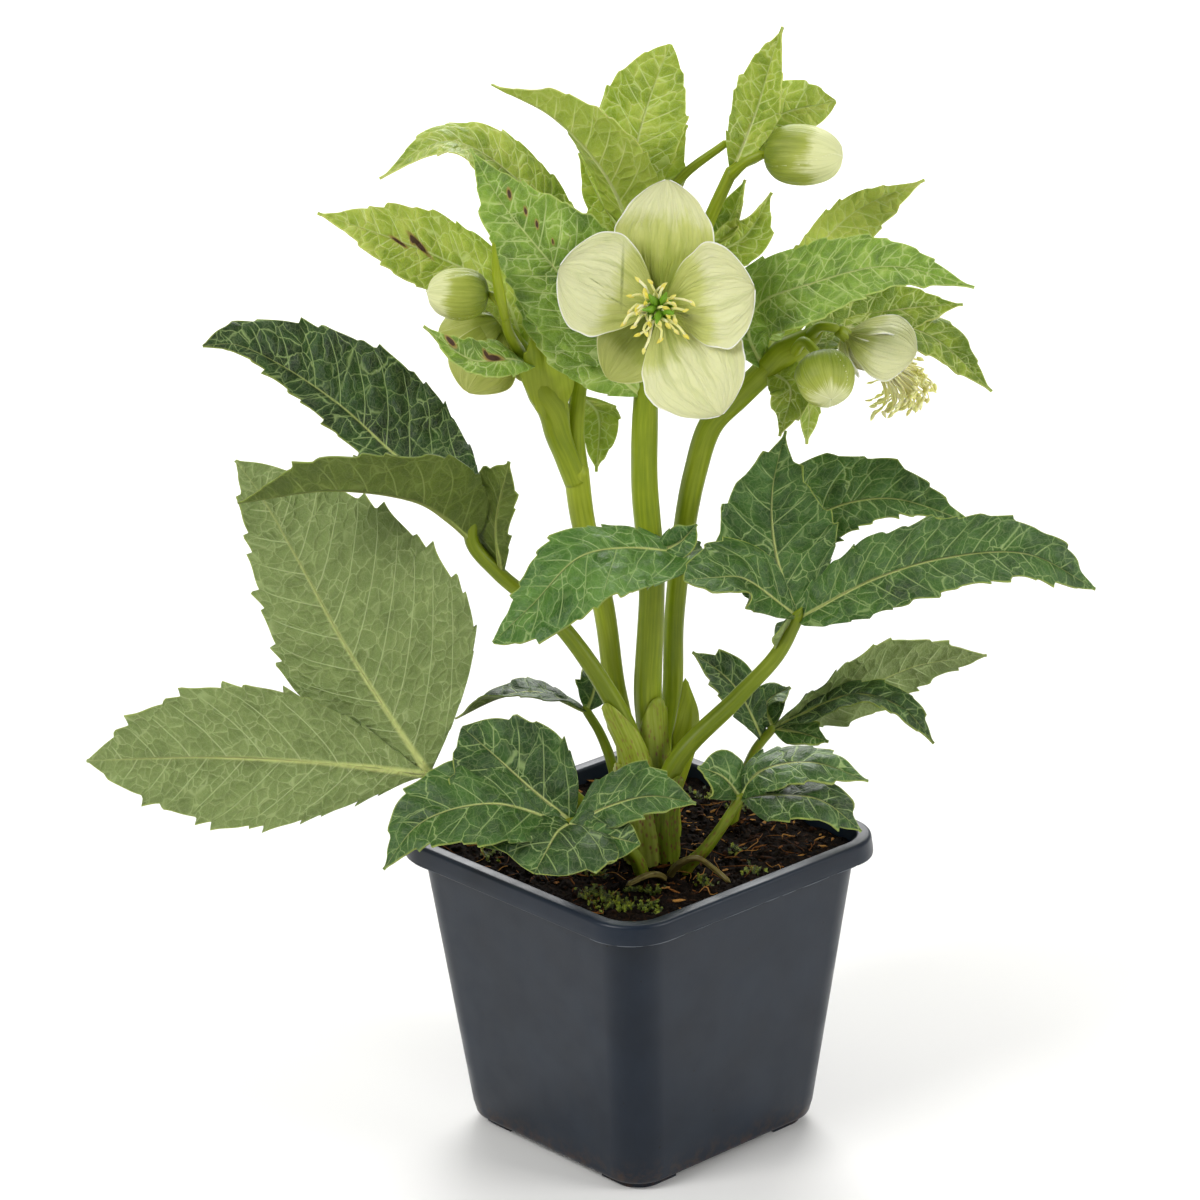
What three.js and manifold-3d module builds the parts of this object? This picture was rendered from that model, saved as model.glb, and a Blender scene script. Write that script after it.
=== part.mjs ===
// Hellebore plant in a square nursery pot. Millimetres, +Z up.
// The origin is the middle of the face that the pot stands on, and the pot's sides lie along X and Y.
// The plant is drawn in a frame of its own, x to the right, y away, z up, and turned with its group.

import * as THREE from 'three';
import { mergeVertices } from 'three/addons/utils/BufferGeometryUtils.js';
import Module from 'manifold-3d';

const wasm = await Module();
wasm.setup();

// ---------------------------------------------------------------- driving dimensions

const PLANT_TURN = 47.6; // degrees from the pot's X axis to the plant's
const GAP = 0.32; // clearance between neighbouring pieces

// pot
const POT_HEIGHT = 113.7;
const RIM_SIDE = 130;
const RIM_RADIUS = 18.7;
const LIP_WIDTH = 5.6;
const BAND_HEIGHT = 7.4;
const BAND_FLARE = 0.5;
const WALL = 1.3;
const SHOULDER_SIDE = 119.3;
const BASE_SIDE = 95.4;
const BASE_RADIUS = 13.4;
const FOOT_HEIGHT = 2.5;
const FOOT_LEG = 19;
const FOOT_WIDTH = 5.5;
const FOOT_INSET = 4;
const PAD_RADIUS = 11;
const DRAIN_RADIUS = 5;
const DRAIN_PLACE = 25;
const CORNER_STEPS = 4;

// soil
const SOIL_TOP = 108.6;
const SOIL_RELIEF = 1.1;
const SOIL_SECTORS = 28;
const SOIL_RINGS = 6;

// crown, the rhizome head
const CROWN_X = 4;
const CROWN_Y = -3;
const CROWN_RADIUS = 10.5;
const CROWN_FOOT = 97;
const CROWN_SHOULDER = 115;
const STEM_FOOT = 104; // where the carried stems end, in their sockets

// blades
const TOOTH_PITCH = 15.8;
const BRACT_PITCH = 19.5;
const TOOTH_BITE = 1.7;
const RIB_THICK = 1.3;
const BLADE_THICK = 0.8;
const EDGE_THICK = 0.66;
const WIDE_BLADE = 30; // half width from which a blade gets a fold line between rib and edge
const WIDE_COLUMNS = [-1, -0.5, 0, 0.5, 1];
const COLUMNS = [-1, 0, 1];

// ---------------------------------------------------------------- finishes

const finish = (color, roughness) => new THREE.MeshStandardMaterial({ color, roughness, metalness: 0 });
const FINISHES = {
  plastic: finish('#3d434b', 0.42),
  peat: finish('#33251a', 0.98),
  sheath: finish('#9db04e', 0.5),
  stem: finish('#8ea33a', 0.48),
  leaf: finish('#35603a', 0.5),
  sepal: finish('#dde2ae', 0.55),
  bud: finish('#b9cc74', 0.5),
  stamen: finish('#e2cf5c', 0.6),
  withered: finish('#8a6a45', 0.85),
};

// ---------------------------------------------------------------- small helpers

const vec = (p) => new THREE.Vector3(p[0], p[1], p[2]);
const curveThrough = (points) => new THREE.CatmullRomCurve3(points.map(vec), false, 'centripetal');
const lerp = THREE.MathUtils.lerp;
const radians = THREE.MathUtils.degToRad;

// A closed solid from points and triangles, ready to be joined or cut.
function solidFrom(points, triangles) {
  const vertProperties = new Float32Array(points.flatMap((p) => [p.x, p.y, p.z]));
  const triVerts = new Uint32Array(triangles.flat());
  return new wasm.Manifold(new wasm.Mesh({ numProp: 3, vertProperties, triVerts }));
}

function solidFromGeometry(geometry) {
  const bare = geometry.index ? geometry.toNonIndexed() : geometry.clone();
  bare.deleteAttribute('normal');
  bare.deleteAttribute('uv');
  const merged = mergeVertices(bare, 1e-4);
  const vertProperties = new Float32Array(merged.attributes.position.array);
  const triVerts = new Uint32Array(merged.index.array);
  return new wasm.Manifold(new wasm.Mesh({ numProp: 3, vertProperties, triVerts }));
}

const join = (solids) => solids.reduce((sum, solid) => sum.add(solid));
const cut = (solid, tools) => tools.reduce((left, tool) => left.subtract(tool), solid);

// The largest body of a solid: scraps that a cut leaves loose are dropped.
function mainBody(solid) {
  const bodies = solid.decompose();
  return bodies.reduce((best, body) => (body.volume() > best.volume() ? body : best));
}

function geometryFrom(solid) {
  const mesh = solid.getMesh();
  const geometry = new THREE.BufferGeometry();
  geometry.setAttribute('position', new THREE.BufferAttribute(new Float32Array(mesh.vertProperties), 3));
  geometry.setIndex(new THREE.BufferAttribute(new Uint32Array(mesh.triVerts), 1));
  return geometry;
}

// Rings of points, all of one length, skinned into a closed solid whose two ends are flat fans.
function skin(rings) {
  const count = rings[0].length;
  const triangles = [];
  for (let row = 0; row < rings.length - 1; row += 1) {
    for (let i = 0; i < count; i += 1) {
      const a = row * count + i;
      const b = row * count + ((i + 1) % count);
      triangles.push([a, b, a + count], [b, b + count, a + count]);
    }
  }
  const last = (rings.length - 1) * count;
  for (let i = 1; i < count - 1; i += 1) {
    triangles.push([0, i + 1, i], [last, last + i, last + i + 1]);
  }
  return solidFrom(rings.flat(), triangles);
}

// ---------------------------------------------------------------- stalks

// A tapering round stalk along a smooth path. radii are spread evenly over its length, and grow
// widens and lengthens it for the hole that it stands in.
function stalk({ path, radii, sides = radii[0] > 3.3 ? 8 : 6, step = 20, squash = 1 }, grow = 0) {
  const curve = curveThrough(path);
  const rows = Math.max(2, Math.ceil(curve.getLength() / step));
  const side = new THREE.Vector3(1, 0, 0);
  const rings = [];
  for (let row = 0; row <= rows; row += 1) {
    const t = row / rows;
    const along = curve.getTangentAt(t);
    const centre = curve.getPointAt(t);
    if (row === 0) centre.addScaledVector(along, -grow);
    side.addScaledVector(along, -side.dot(along)).normalize();
    const across = along.clone().cross(side);
    const spot = t * (radii.length - 1);
    const low = Math.min(Math.floor(spot), radii.length - 2);
    const radius = lerp(radii[low], radii[low + 1], spot - low) + grow;
    rings.push(Array.from({ length: sides }, (_, i) => {
      const angle = (2 * Math.PI * i) / sides;
      return centre.clone()
        .addScaledVector(side, radius * Math.cos(angle))
        .addScaledVector(across, radius * squash * Math.sin(angle));
    }));
  }
  return skin(rings);
}

// ---------------------------------------------------------------- blades

// Half width of a blade as a share of its widest, from its base at 0 to its tip at 1.
function outline(t, wide, base, tip) {
  if (t < wide) return Math.sin((Math.PI / 2) * (t / wide)) ** base;
  return Math.max(0, Math.cos((Math.PI / 2) * ((t - wide) / (1 - wide)))) ** tip;
}

// Places along a blade where its rows lie, each with the tooth that stands out there.
function rowsOf(length, pitch, bite, smoothRows) {
  if (!pitch) return Array.from({ length: smoothRows + 1 }, (_, i) => ({ t: i / smoothRows, tooth: 0 }));
  const teeth = Math.max(2, Math.round(length / pitch));
  const rows = [];
  for (let k = 0; k < teeth; k += 1) {
    const grown = Math.min(1, k / 1.5);
    rows.push({ t: k / teeth, tooth: 0 }, { t: (k + 0.72) / teeth, tooth: bite * grown });
  }
  rows.push({ t: 1, tooth: 0 });
  return rows;
}

// A leaf blade, bract or sepal: a midrib curve with a surface on each side of it.
// rib: points from base to tip. half: widest half width, to the left and right seen from its face.
// face: the way its upper side looks. twist: degrees that the face turns from base to tip.
// fold lifts both halves in a V, cup bends them up (or down, below 0), wave ruffles the edges.
function blade(shape) {
  const {
    rib, half, face, wide = 0.42, base = 0.8, tip = 1.15, fold = 0.12, cup = 0, twist = 0, wave = 1,
    pitch = TOOTH_PITCH, bite = TOOTH_BITE, smoothRows = 6, neck = 1.3,
    columns = Math.max(...half) >= WIDE_BLADE ? WIDE_COLUMNS : COLUMNS,
  } = shape;
  const curve = curveThrough(rib);
  const rows = rowsOf(curve.getLength(), pitch, bite, smoothRows);
  const grid = rows.map(({ t, tooth }) => {
    const along = curve.getTangentAt(t);
    const middle = curve.getPointAt(t);
    const up = vec(face).normalize().applyAxisAngle(along, radians(twist) * (t - 0.5));
    const side = along.clone().cross(up).normalize();
    const lift = side.clone().cross(along);
    return columns.map((u) => {
      const reach = half[u < 0 ? 0 : 1] * outline(t, wide, base, tip);
      const room = Math.min(1, reach / 6);
      const width = Math.max(neck * (1 - 0.6 * t), reach) + (Math.abs(u) === 1 ? tooth * room : 0);
      const ruffle = wave * room * Math.abs(u) * Math.sin(9 * t + (u < 0 ? 0.6 : 2.4));
      const height = width * (fold * Math.abs(u) + cup * u * u) + ruffle;
      return middle.clone().addScaledVector(side, u * width).addScaledVector(lift, height);
    });
  });
  const lastColumn = columns.length - 1;
  const rings = grid.map((line, row) => {
    const before = grid[Math.max(0, row - 1)];
    const after = grid[Math.min(grid.length - 1, row + 1)];
    const top = [];
    const bottom = [];
    line.forEach((point, column) => {
      const across = line[Math.min(lastColumn, column + 1)].clone().sub(line[Math.max(0, column - 1)]);
      const normal = across.cross(after[column].clone().sub(before[column])).normalize();
      const depth = Math.abs(columns[column]);
      const thick = depth === 1 ? EDGE_THICK : (depth === 0 ? RIB_THICK : BLADE_THICK);
      top.push(point.clone().addScaledVector(normal, thick / 2));
      bottom.push(point.clone().addScaledVector(normal, -thick / 2));
    });
    return [...top, ...bottom.reverse()];
  });
  return skinBlade(rings, columns.length);
}

// Skins a blade's rings: the upper and lower faces get the same diagonals, and the two ends are
// closed by strips.
function skinBlade(rings, columns) {
  const count = 2 * columns;
  const triangles = [];
  const quad = (a, b, c, d, turned) => {
    if (turned) triangles.push([a, b, d], [b, c, d]);
    else triangles.push([a, b, c], [a, c, d]);
  };
  for (let row = 0; row < rings.length - 1; row += 1) {
    const here = row * count;
    const next = here + count;
    for (let i = 0; i < count; i += 1) {
      const j = (i + 1) % count;
      const leftHalf = i < columns ? i < (columns - 1) / 2 : i >= columns + (columns - 1) / 2;
      const under = i >= columns && i < count - 1;
      quad(here + i, here + j, next + j, next + i, leftHalf !== under);
    }
  }
  const last = (rings.length - 1) * count;
  for (let i = 0; i < columns - 1; i += 1) {
    const below = count - 1 - i;
    triangles.push([below, i + 1, i], [below, below - 1, i + 1]);
    triangles.push([last + i, last + i + 1, last + below], [last + i + 1, last + below - 1, last + below]);
  }
  return solidFrom(rings.flat(), triangles);
}

const bract = (shape) => blade({ pitch: BRACT_PITCH, columns: COLUMNS, tip: 1.25, ...shape });

// ---------------------------------------------------------------- pot

// One turn round a square with round corners.
function squareLoop(side, radius, z) {
  const flat = side / 2 - radius;
  const loop = [];
  for (let corner = 0; corner < 4; corner += 1) {
    const signX = corner === 0 || corner === 3 ? 1 : -1;
    const signY = corner < 2 ? 1 : -1;
    for (let i = 0; i <= CORNER_STEPS; i += 1) {
      const angle = (Math.PI / 2) * (corner + i / CORNER_STEPS);
      const x = signX * flat + radius * Math.cos(angle);
      const y = signY * flat + radius * Math.sin(angle);
      loop.push(new THREE.Vector3(x, y, z));
    }
  }
  return loop;
}

const FLOOR_TOP = FOOT_HEIGHT + WALL;
const BAND_FOOT = POT_HEIGHT - BAND_HEIGHT;

// Outer side of the pot's wall at a height.
const wallSide = (z) => lerp(BASE_SIDE, SHOULDER_SIDE, (z - FOOT_HEIGHT) / (BAND_FOOT - FOOT_HEIGHT));
const wallRadius = (z) => lerp(BASE_RADIUS, RIM_RADIUS - 3, (z - FOOT_HEIGHT) / (BAND_FOOT - FOOT_HEIGHT));

function potFoot(corner) {
  const shape = new THREE.Shape();
  const round = BASE_RADIUS - FOOT_INSET;
  shape.absarc(-round, -round, round, 0, Math.PI / 2, false);
  shape.lineTo(-FOOT_LEG, 0);
  shape.lineTo(-FOOT_LEG, -FOOT_WIDTH);
  shape.lineTo(-FOOT_WIDTH, -FOOT_WIDTH);
  shape.lineTo(-FOOT_WIDTH, -FOOT_LEG);
  shape.lineTo(0, -FOOT_LEG);
  const foot = new THREE.ExtrudeGeometry(shape, {
    depth: FOOT_HEIGHT + WALL / 2,
    curveSegments: CORNER_STEPS,
    bevelEnabled: false,
  });
  const place = BASE_SIDE / 2 - FOOT_INSET;
  foot.translate(place, place, 0);
  foot.rotateZ((Math.PI / 2) * corner);
  return solidFromGeometry(foot);
}

function makePot() {
  const lipFoot = POT_HEIGHT - WALL;
  const loops = [
    squareLoop(BASE_SIDE - 3, BASE_RADIUS - 1.5, FOOT_HEIGHT),
    squareLoop(wallSide(FOOT_HEIGHT + 1.5), BASE_RADIUS, FOOT_HEIGHT + 1.5),
    squareLoop(SHOULDER_SIDE, wallRadius(BAND_FOOT), BAND_FOOT),
    squareLoop(wallSide(lipFoot), wallRadius(BAND_FOOT), lipFoot),
    squareLoop(RIM_SIDE - 2 * WALL, RIM_RADIUS - WALL, lipFoot),
    squareLoop(RIM_SIDE + 2 * BAND_FLARE - 2 * WALL, RIM_RADIUS - WALL + BAND_FLARE, BAND_FOOT),
    squareLoop(RIM_SIDE + 2 * BAND_FLARE, RIM_RADIUS + BAND_FLARE, BAND_FOOT),
    squareLoop(RIM_SIDE, RIM_RADIUS, POT_HEIGHT - 1.4),
    squareLoop(RIM_SIDE - 1.6, RIM_RADIUS - 0.8, POT_HEIGHT),
    squareLoop(RIM_SIDE - 2 * LIP_WIDTH, RIM_RADIUS - LIP_WIDTH, POT_HEIGHT),
    squareLoop(wallSide(lipFoot) - 2 * WALL, wallRadius(BAND_FOOT) - WALL, lipFoot - 1.5),
    squareLoop(wallSide(FLOOR_TOP) - 2 * WALL, BASE_RADIUS - WALL, FLOOR_TOP),
  ];
  const shell = skin(loops);
  const feet = [0, 1, 2, 3].map(potFoot);
  const pad = new THREE.CylinderGeometry(PAD_RADIUS, PAD_RADIUS, FLOOR_TOP - 0.4, 16);
  pad.rotateX(Math.PI / 2).translate(0, 0, (FLOOR_TOP - 0.4) / 2);
  const drains = [0, 1, 2, 3].map((corner) => {
    const drain = new THREE.CylinderGeometry(DRAIN_RADIUS, DRAIN_RADIUS, 3 * FLOOR_TOP, 8);
    drain.rotateX(Math.PI / 2).translate(DRAIN_PLACE, 0, 0).rotateZ((Math.PI / 2) * corner);
    return solidFromGeometry(drain);
  });
  return cut(join([shell, ...feet, solidFromGeometry(pad)]), drains);
}

// ---------------------------------------------------------------- soil

// Uneven peat surface: a few waves of unlike length, so it never repeats across the pot.
function peatRelief(x, y) {
  const swell = Math.sin(0.11 * x + 0.7) * Math.cos(0.13 * y - 0.4);
  const clods = Math.sin(0.47 * x + 0.21 * y) * Math.sin(0.39 * y - 0.17 * x + 1.3);
  return SOIL_RELIEF * (0.7 * swell + 0.6 * clods);
}

// The soil fills the pot to just under its rim. It is turned into the plant's frame, where the
// stems' holes are cut.
function makeSoil() {
  const flatLoop = (z) => {
    const side = wallSide(z) - 2 * (WALL + GAP + 0.1);
    const radius = wallRadius(z) - WALL;
    return { side, radius, z };
  };
  const reach = (angle, { side, radius }) => {
    const flat = side / 2 - radius;
    const c = Math.abs(Math.cos(angle));
    const s = Math.abs(Math.sin(angle));
    const straight = side / 2 / Math.max(c, s);
    const inner = straight * Math.min(c, s);
    if (inner <= flat) return straight;
    const b = flat * (c + s);
    return b + Math.sqrt(b * b - 2 * flat * flat + radius * radius);
  };
  const ring = (loop, share, relief) => Array.from({ length: SOIL_SECTORS }, (_, i) => {
    const angle = (2 * Math.PI * i) / SOIL_SECTORS;
    const r = reach(angle, loop) * share;
    const x = r * Math.cos(angle);
    const y = r * Math.sin(angle);
    return new THREE.Vector3(x, y, loop.z + (relief ? peatRelief(x, y) : 0));
  });
  const rings = [ring(flatLoop(FLOOR_TOP + GAP + 0.1), 1, false)];
  const topLoop = flatLoop(SOIL_TOP);
  for (let i = 0; i < SOIL_RINGS; i += 1) rings.push(ring(topLoop, 1 - i / SOIL_RINGS, true));
  const turn = -radians(PLANT_TURN);
  const upAxis = new THREE.Vector3(0, 0, 1);
  rings.forEach((loop) => loop.forEach((p) => p.applyAxisAngle(upAxis, turn)));
  return skin(rings);
}

// ---------------------------------------------------------------- stems and petioles

const STEMS = {
  centre: {
    path: [[5, -4, STEM_FOOT], [5, -4, 151], [4, -4, 168], [6, -2, 211], [4, 0, 248], [5, 0, 287],
      [5, 5, 308], [4, 8, 336]],
    radii: [4.8, 5, 5, 4.6, 4.8, 4.6, 3.4, 2.6],
  },
  left: {
    path: [[-3, 5, STEM_FOOT], [-4, 6, 146], [-8, 5, 171], [-11, 4, 198], [-18, 2, 233], [-20, 0, 252]],
    radii: [3.6, 3.8, 3.8, 4, 4.6],
  },
  right: {
    path: [[10, 7, STEM_FOOT], [10, 8, 142], [13, 9, 164], [14, 10, 192], [18, 12, 225], [22, 12, 246],
      [28, 10, 265], [38, 8, 276], [48, 5, 287]],
    radii: [3.6, 3.7, 3.7, 3.6, 3.8, 4.2, 4.4, 4.6],
  },
};

const PETIOLES = {
  leftUpper: {
    path: [[-1, -12, STEM_FOOT], [-1, -13, 150], [-12, -13, 176], [-27, -13, 199], [-48, -14, 219],
      [-57, -14, 231], [-56, -13, 242]],
    radii: [3.5, 3.8, 3.5, 3, 2.7, 2.4],
  },
  right: {
    path: [[9, -14.5, STEM_FOOT], [12, -14, 143], [36, -12, 170], [50, -12, 186], [57, -12, 200]],
    radii: [3.5, 3.8, 3.4, 2.9, 2.6],
  },
  leftLarge: {
    path: [[-17, -8, 98], [-17, -10, 122], [-27, -18, 138], [-52, -27, 146], [-74, -30, 150]],
    radii: [3.2, 3, 2.5, 2.2, 2.1],
  },
  backLeft: {
    path: [[-9, 17, 98], [-8, 15, 128], [-13, 17, 145], [-18, 18, 154]],
    radii: [2.4, 2.1, 1.9, 1.6],
  },
  frontLeft: {
    path: [[2, -24, 98], [-1, -26, 114], [-10, -29, 125], [-24, -33, 132]],
    radii: [2.8, 2.6, 2.2, 1.9],
  },
  frontRight: {
    path: [[14, -22, 98], [17, -26, 111], [22.5, -29, 118], [29, -29, 127], [36, -28, 138]],
    radii: [2.6, 2.4, 2, 1.7],
  },
  backRight: {
    path: [[32, 19, 98], [37, 22, 118], [43, 28, 133], [50, 31, 141]],
    radii: [2.4, 2.1, 1.9, 1.6],
  },
};

// ---------------------------------------------------------------- basal leaves

const leafSolid = (petiole, blades) => join([stalk(petiole), ...blades.map((shape) => blade(shape))]);

const LEAF_BLADES = {
  leftUpper: [
    { rib: [[-56, -13, 241], [-81, -4, 258], [-103, 6, 276], [-124, 13, 289], [-139, 14, 296],
      [-150, 10, 297]],
      half: [9, 27], face: [0.35, -0.75, 0.55], wide: 0.38, fold: 0.1, base: 0.55, tip: 0.85 },
    { rib: [[-57, -14, 231], [-65, -20, 241], [-76, -30, 252], [-104, -41, 260], [-136, -44, 257]],
      half: [16, 18], face: [0, 0.45, 0.9], wide: 0.35, fold: 0.8, base: 0.45, tip: 1.1 },
    { rib: [[-47, -14, 217], [-48, -18, 239], [-43, -24, 263.5]],
      half: [5, 13], face: [0.5, 0.8, 0.3], wide: 0.6, fold: 0.3 },
  ],
  leftLarge: [
    { rib: [[-74, -30, 150], [-101, -24, 195], [-118, -11, 224], [-131, 1, 244], [-140, 6, 256]],
      half: [45.5, 23], face: [0.1, 0.98, -0.2], wide: 0.38, fold: -0.12, cup: 0.1, base: 0.92, tip: 0.95 },
    { rib: [[-74, -30, 150], [-116, -36, 158], [-152, -35, 160], [-195, -24, 155]],
      half: [25.5, 24], face: [0, 0.98, -0.2], wide: 0.53, fold: -0.08, base: 1.1, tip: 0.95 },
  ],
  backLeft: [
    { rib: [[-18, 18, 154], [-35, 20, 161], [-49, 24, 158], [-66, 26, 149]],
      half: [10, 10], face: [0, 0.1, 1], wide: 0.5, fold: 0.2, wave: 2 },
    { rib: [[-18, 18, 154], [-15, 22, 162], [-17, 32, 168]], half: [6, 6], face: [0, -0.5, 1] },
  ],
  frontLeft: [
    { rib: [[-24, -33, 132], [-38, -33, 145], [-50, -30, 156], [-62, -26, 166]],
      half: [27, 20], face: [-0.3, -0.6, 0.75], wide: 0.45, base: 0.6, tip: 0.8 },
    { rib: [[-26, -34, 132], [-52, -44, 144], [-76, -50, 140], [-90, -54, 124]],
      half: [18, 18], face: [-0.35, -0.55, 0.75], wide: 0.45, base: 0.7 },
    { rib: [[-25, -35, 132], [-29, -45, 133], [-33, -54, 129.5], [-37, -61, 124.5]],
      half: [24, 26], face: [0, -0.5, 0.87], wide: 0.5, base: 0.5, tip: 0.7 },
    { rib: [[-25, -35, 132], [-13, -45, 132], [0, -50, 130]],
      half: [10, 14], face: [0, -0.6, 0.8], base: 0.5, tip: 0.8 },
    { rib: [[-23, -34, 132], [-10, -38, 140], [4, -40, 144], [20, -40, 141]],
      half: [15, 9], face: [0.05, -0.5, 0.85], wide: 0.48, base: 0.6, cup: -0.15 },
  ],
  frontRight: [
    { rib: [[36, -28, 138], [43, -31, 149], [60, -33, 153], [81, -34, 146]],
      half: [11, 11], face: [0.1, -0.35, 0.95], wide: 0.4, cup: -0.2 },
    { rib: [[36, -28, 138], [30, -28, 146], [21, -28, 150]],
      half: [9, 9], face: [-0.2, -0.5, 0.8], wide: 0.5 },
    { rib: [[36, -28, 138], [50, -36, 142], [64, -42, 142], [78, -44, 131]],
      half: [12, 12], face: [0.2, -0.45, 0.9], wide: 0.45, cup: -0.2 },
  ],
  right: [
    { rib: [[57, -12, 199], [84, -20, 216.5], [109, -26, 226], [136, -28, 227.5], [161, -22, 212]],
      half: [16, 15], face: [0, -0.6, 0.8], wide: 0.42, fold: 0.12, base: 0.5, tip: 0.85 },
    { rib: [[57, -12, 200], [56, 2, 214], [64, 12, 228], [90, 16, 234], [125, 11, 224]],
      half: [21, 12], face: [-0.1, -0.75, 0.65], wide: 0.34, fold: 0.1, base: 0.65, tip: 1.6 },
    { rib: [[57, -12, 200], [50, -3, 221], [49, 2, 242], [54, 7, 263]],
      half: [19, 22], face: [-0.1, -0.85, 0.5], wide: 0.42, base: 0.7, tip: 1.5 },
    { rib: [[57, -12, 200], [38, -17, 216.5], [28, -24, 219.5], [17, -29, 220.5]],
      half: [12, 15], face: [-0.1, -0.5, 0.85], wide: 0.52, base: 0.7, tip: 0.6 },
    { rib: [[57, -12, 200], [53, -14, 197], [49, -14, 189]],
      half: [5, 5], face: [-0.6, 0.2, 0.7], fold: 0.6 },
  ],
  backRight: [
    { rib: [[50, 31, 141], [71, 38, 147], [86, 42, 153], [104, 44, 160], [129, 42, 164]],
      half: [11, 15], face: [0, 0.95, 0.3], wide: 0.5, fold: -0.1, tip: 1 },
    { rib: [[50, 31, 141], [80, 30, 154], [97, 25, 150], [108, 18, 139]],
      half: [9, 9], face: [0.2, -0.2, 1], wide: 0.55, fold: 0.15 },
    { rib: [[50, 31, 141], [48, 38, 148], [57, 44, 152]], half: [8, 8], face: [-0.4, -0.5, 0.7] },
    { rib: [[50, 31, 141], [60, 28, 140], [70, 24, 138]], half: [6, 6], face: [0.1, -0.6, 0.7] },
    { rib: [[46, 29, 137], [40, 34, 150], [34, 37, 158], [21, 40, 168]],
      half: [9, 9], face: [0.5, -0.7, 0.5], wide: 0.5, fold: 0.2 },
  ],
};

// The dark leaf on the right stem, low in front of the stems.
const STEM_LEAF = [
  { rib: [[15, 4.6, 217], [13, -9, 224], [-4, -18, 229], [-20, -28, 229], [-36, -36, 215], [-50, -38, 202]],
    half: [24, 11], face: [-0.2, -0.55, 0.8], wide: 0.55, base: 0.9, tip: 0.75 },
  { rib: [[8, -9, 224], [16, -10, 228], [22, -8, 234]], half: [6, 6], face: [0.1, -0.7, 0.7] },
];

// ---------------------------------------------------------------- bracts and flower stalks

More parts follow.
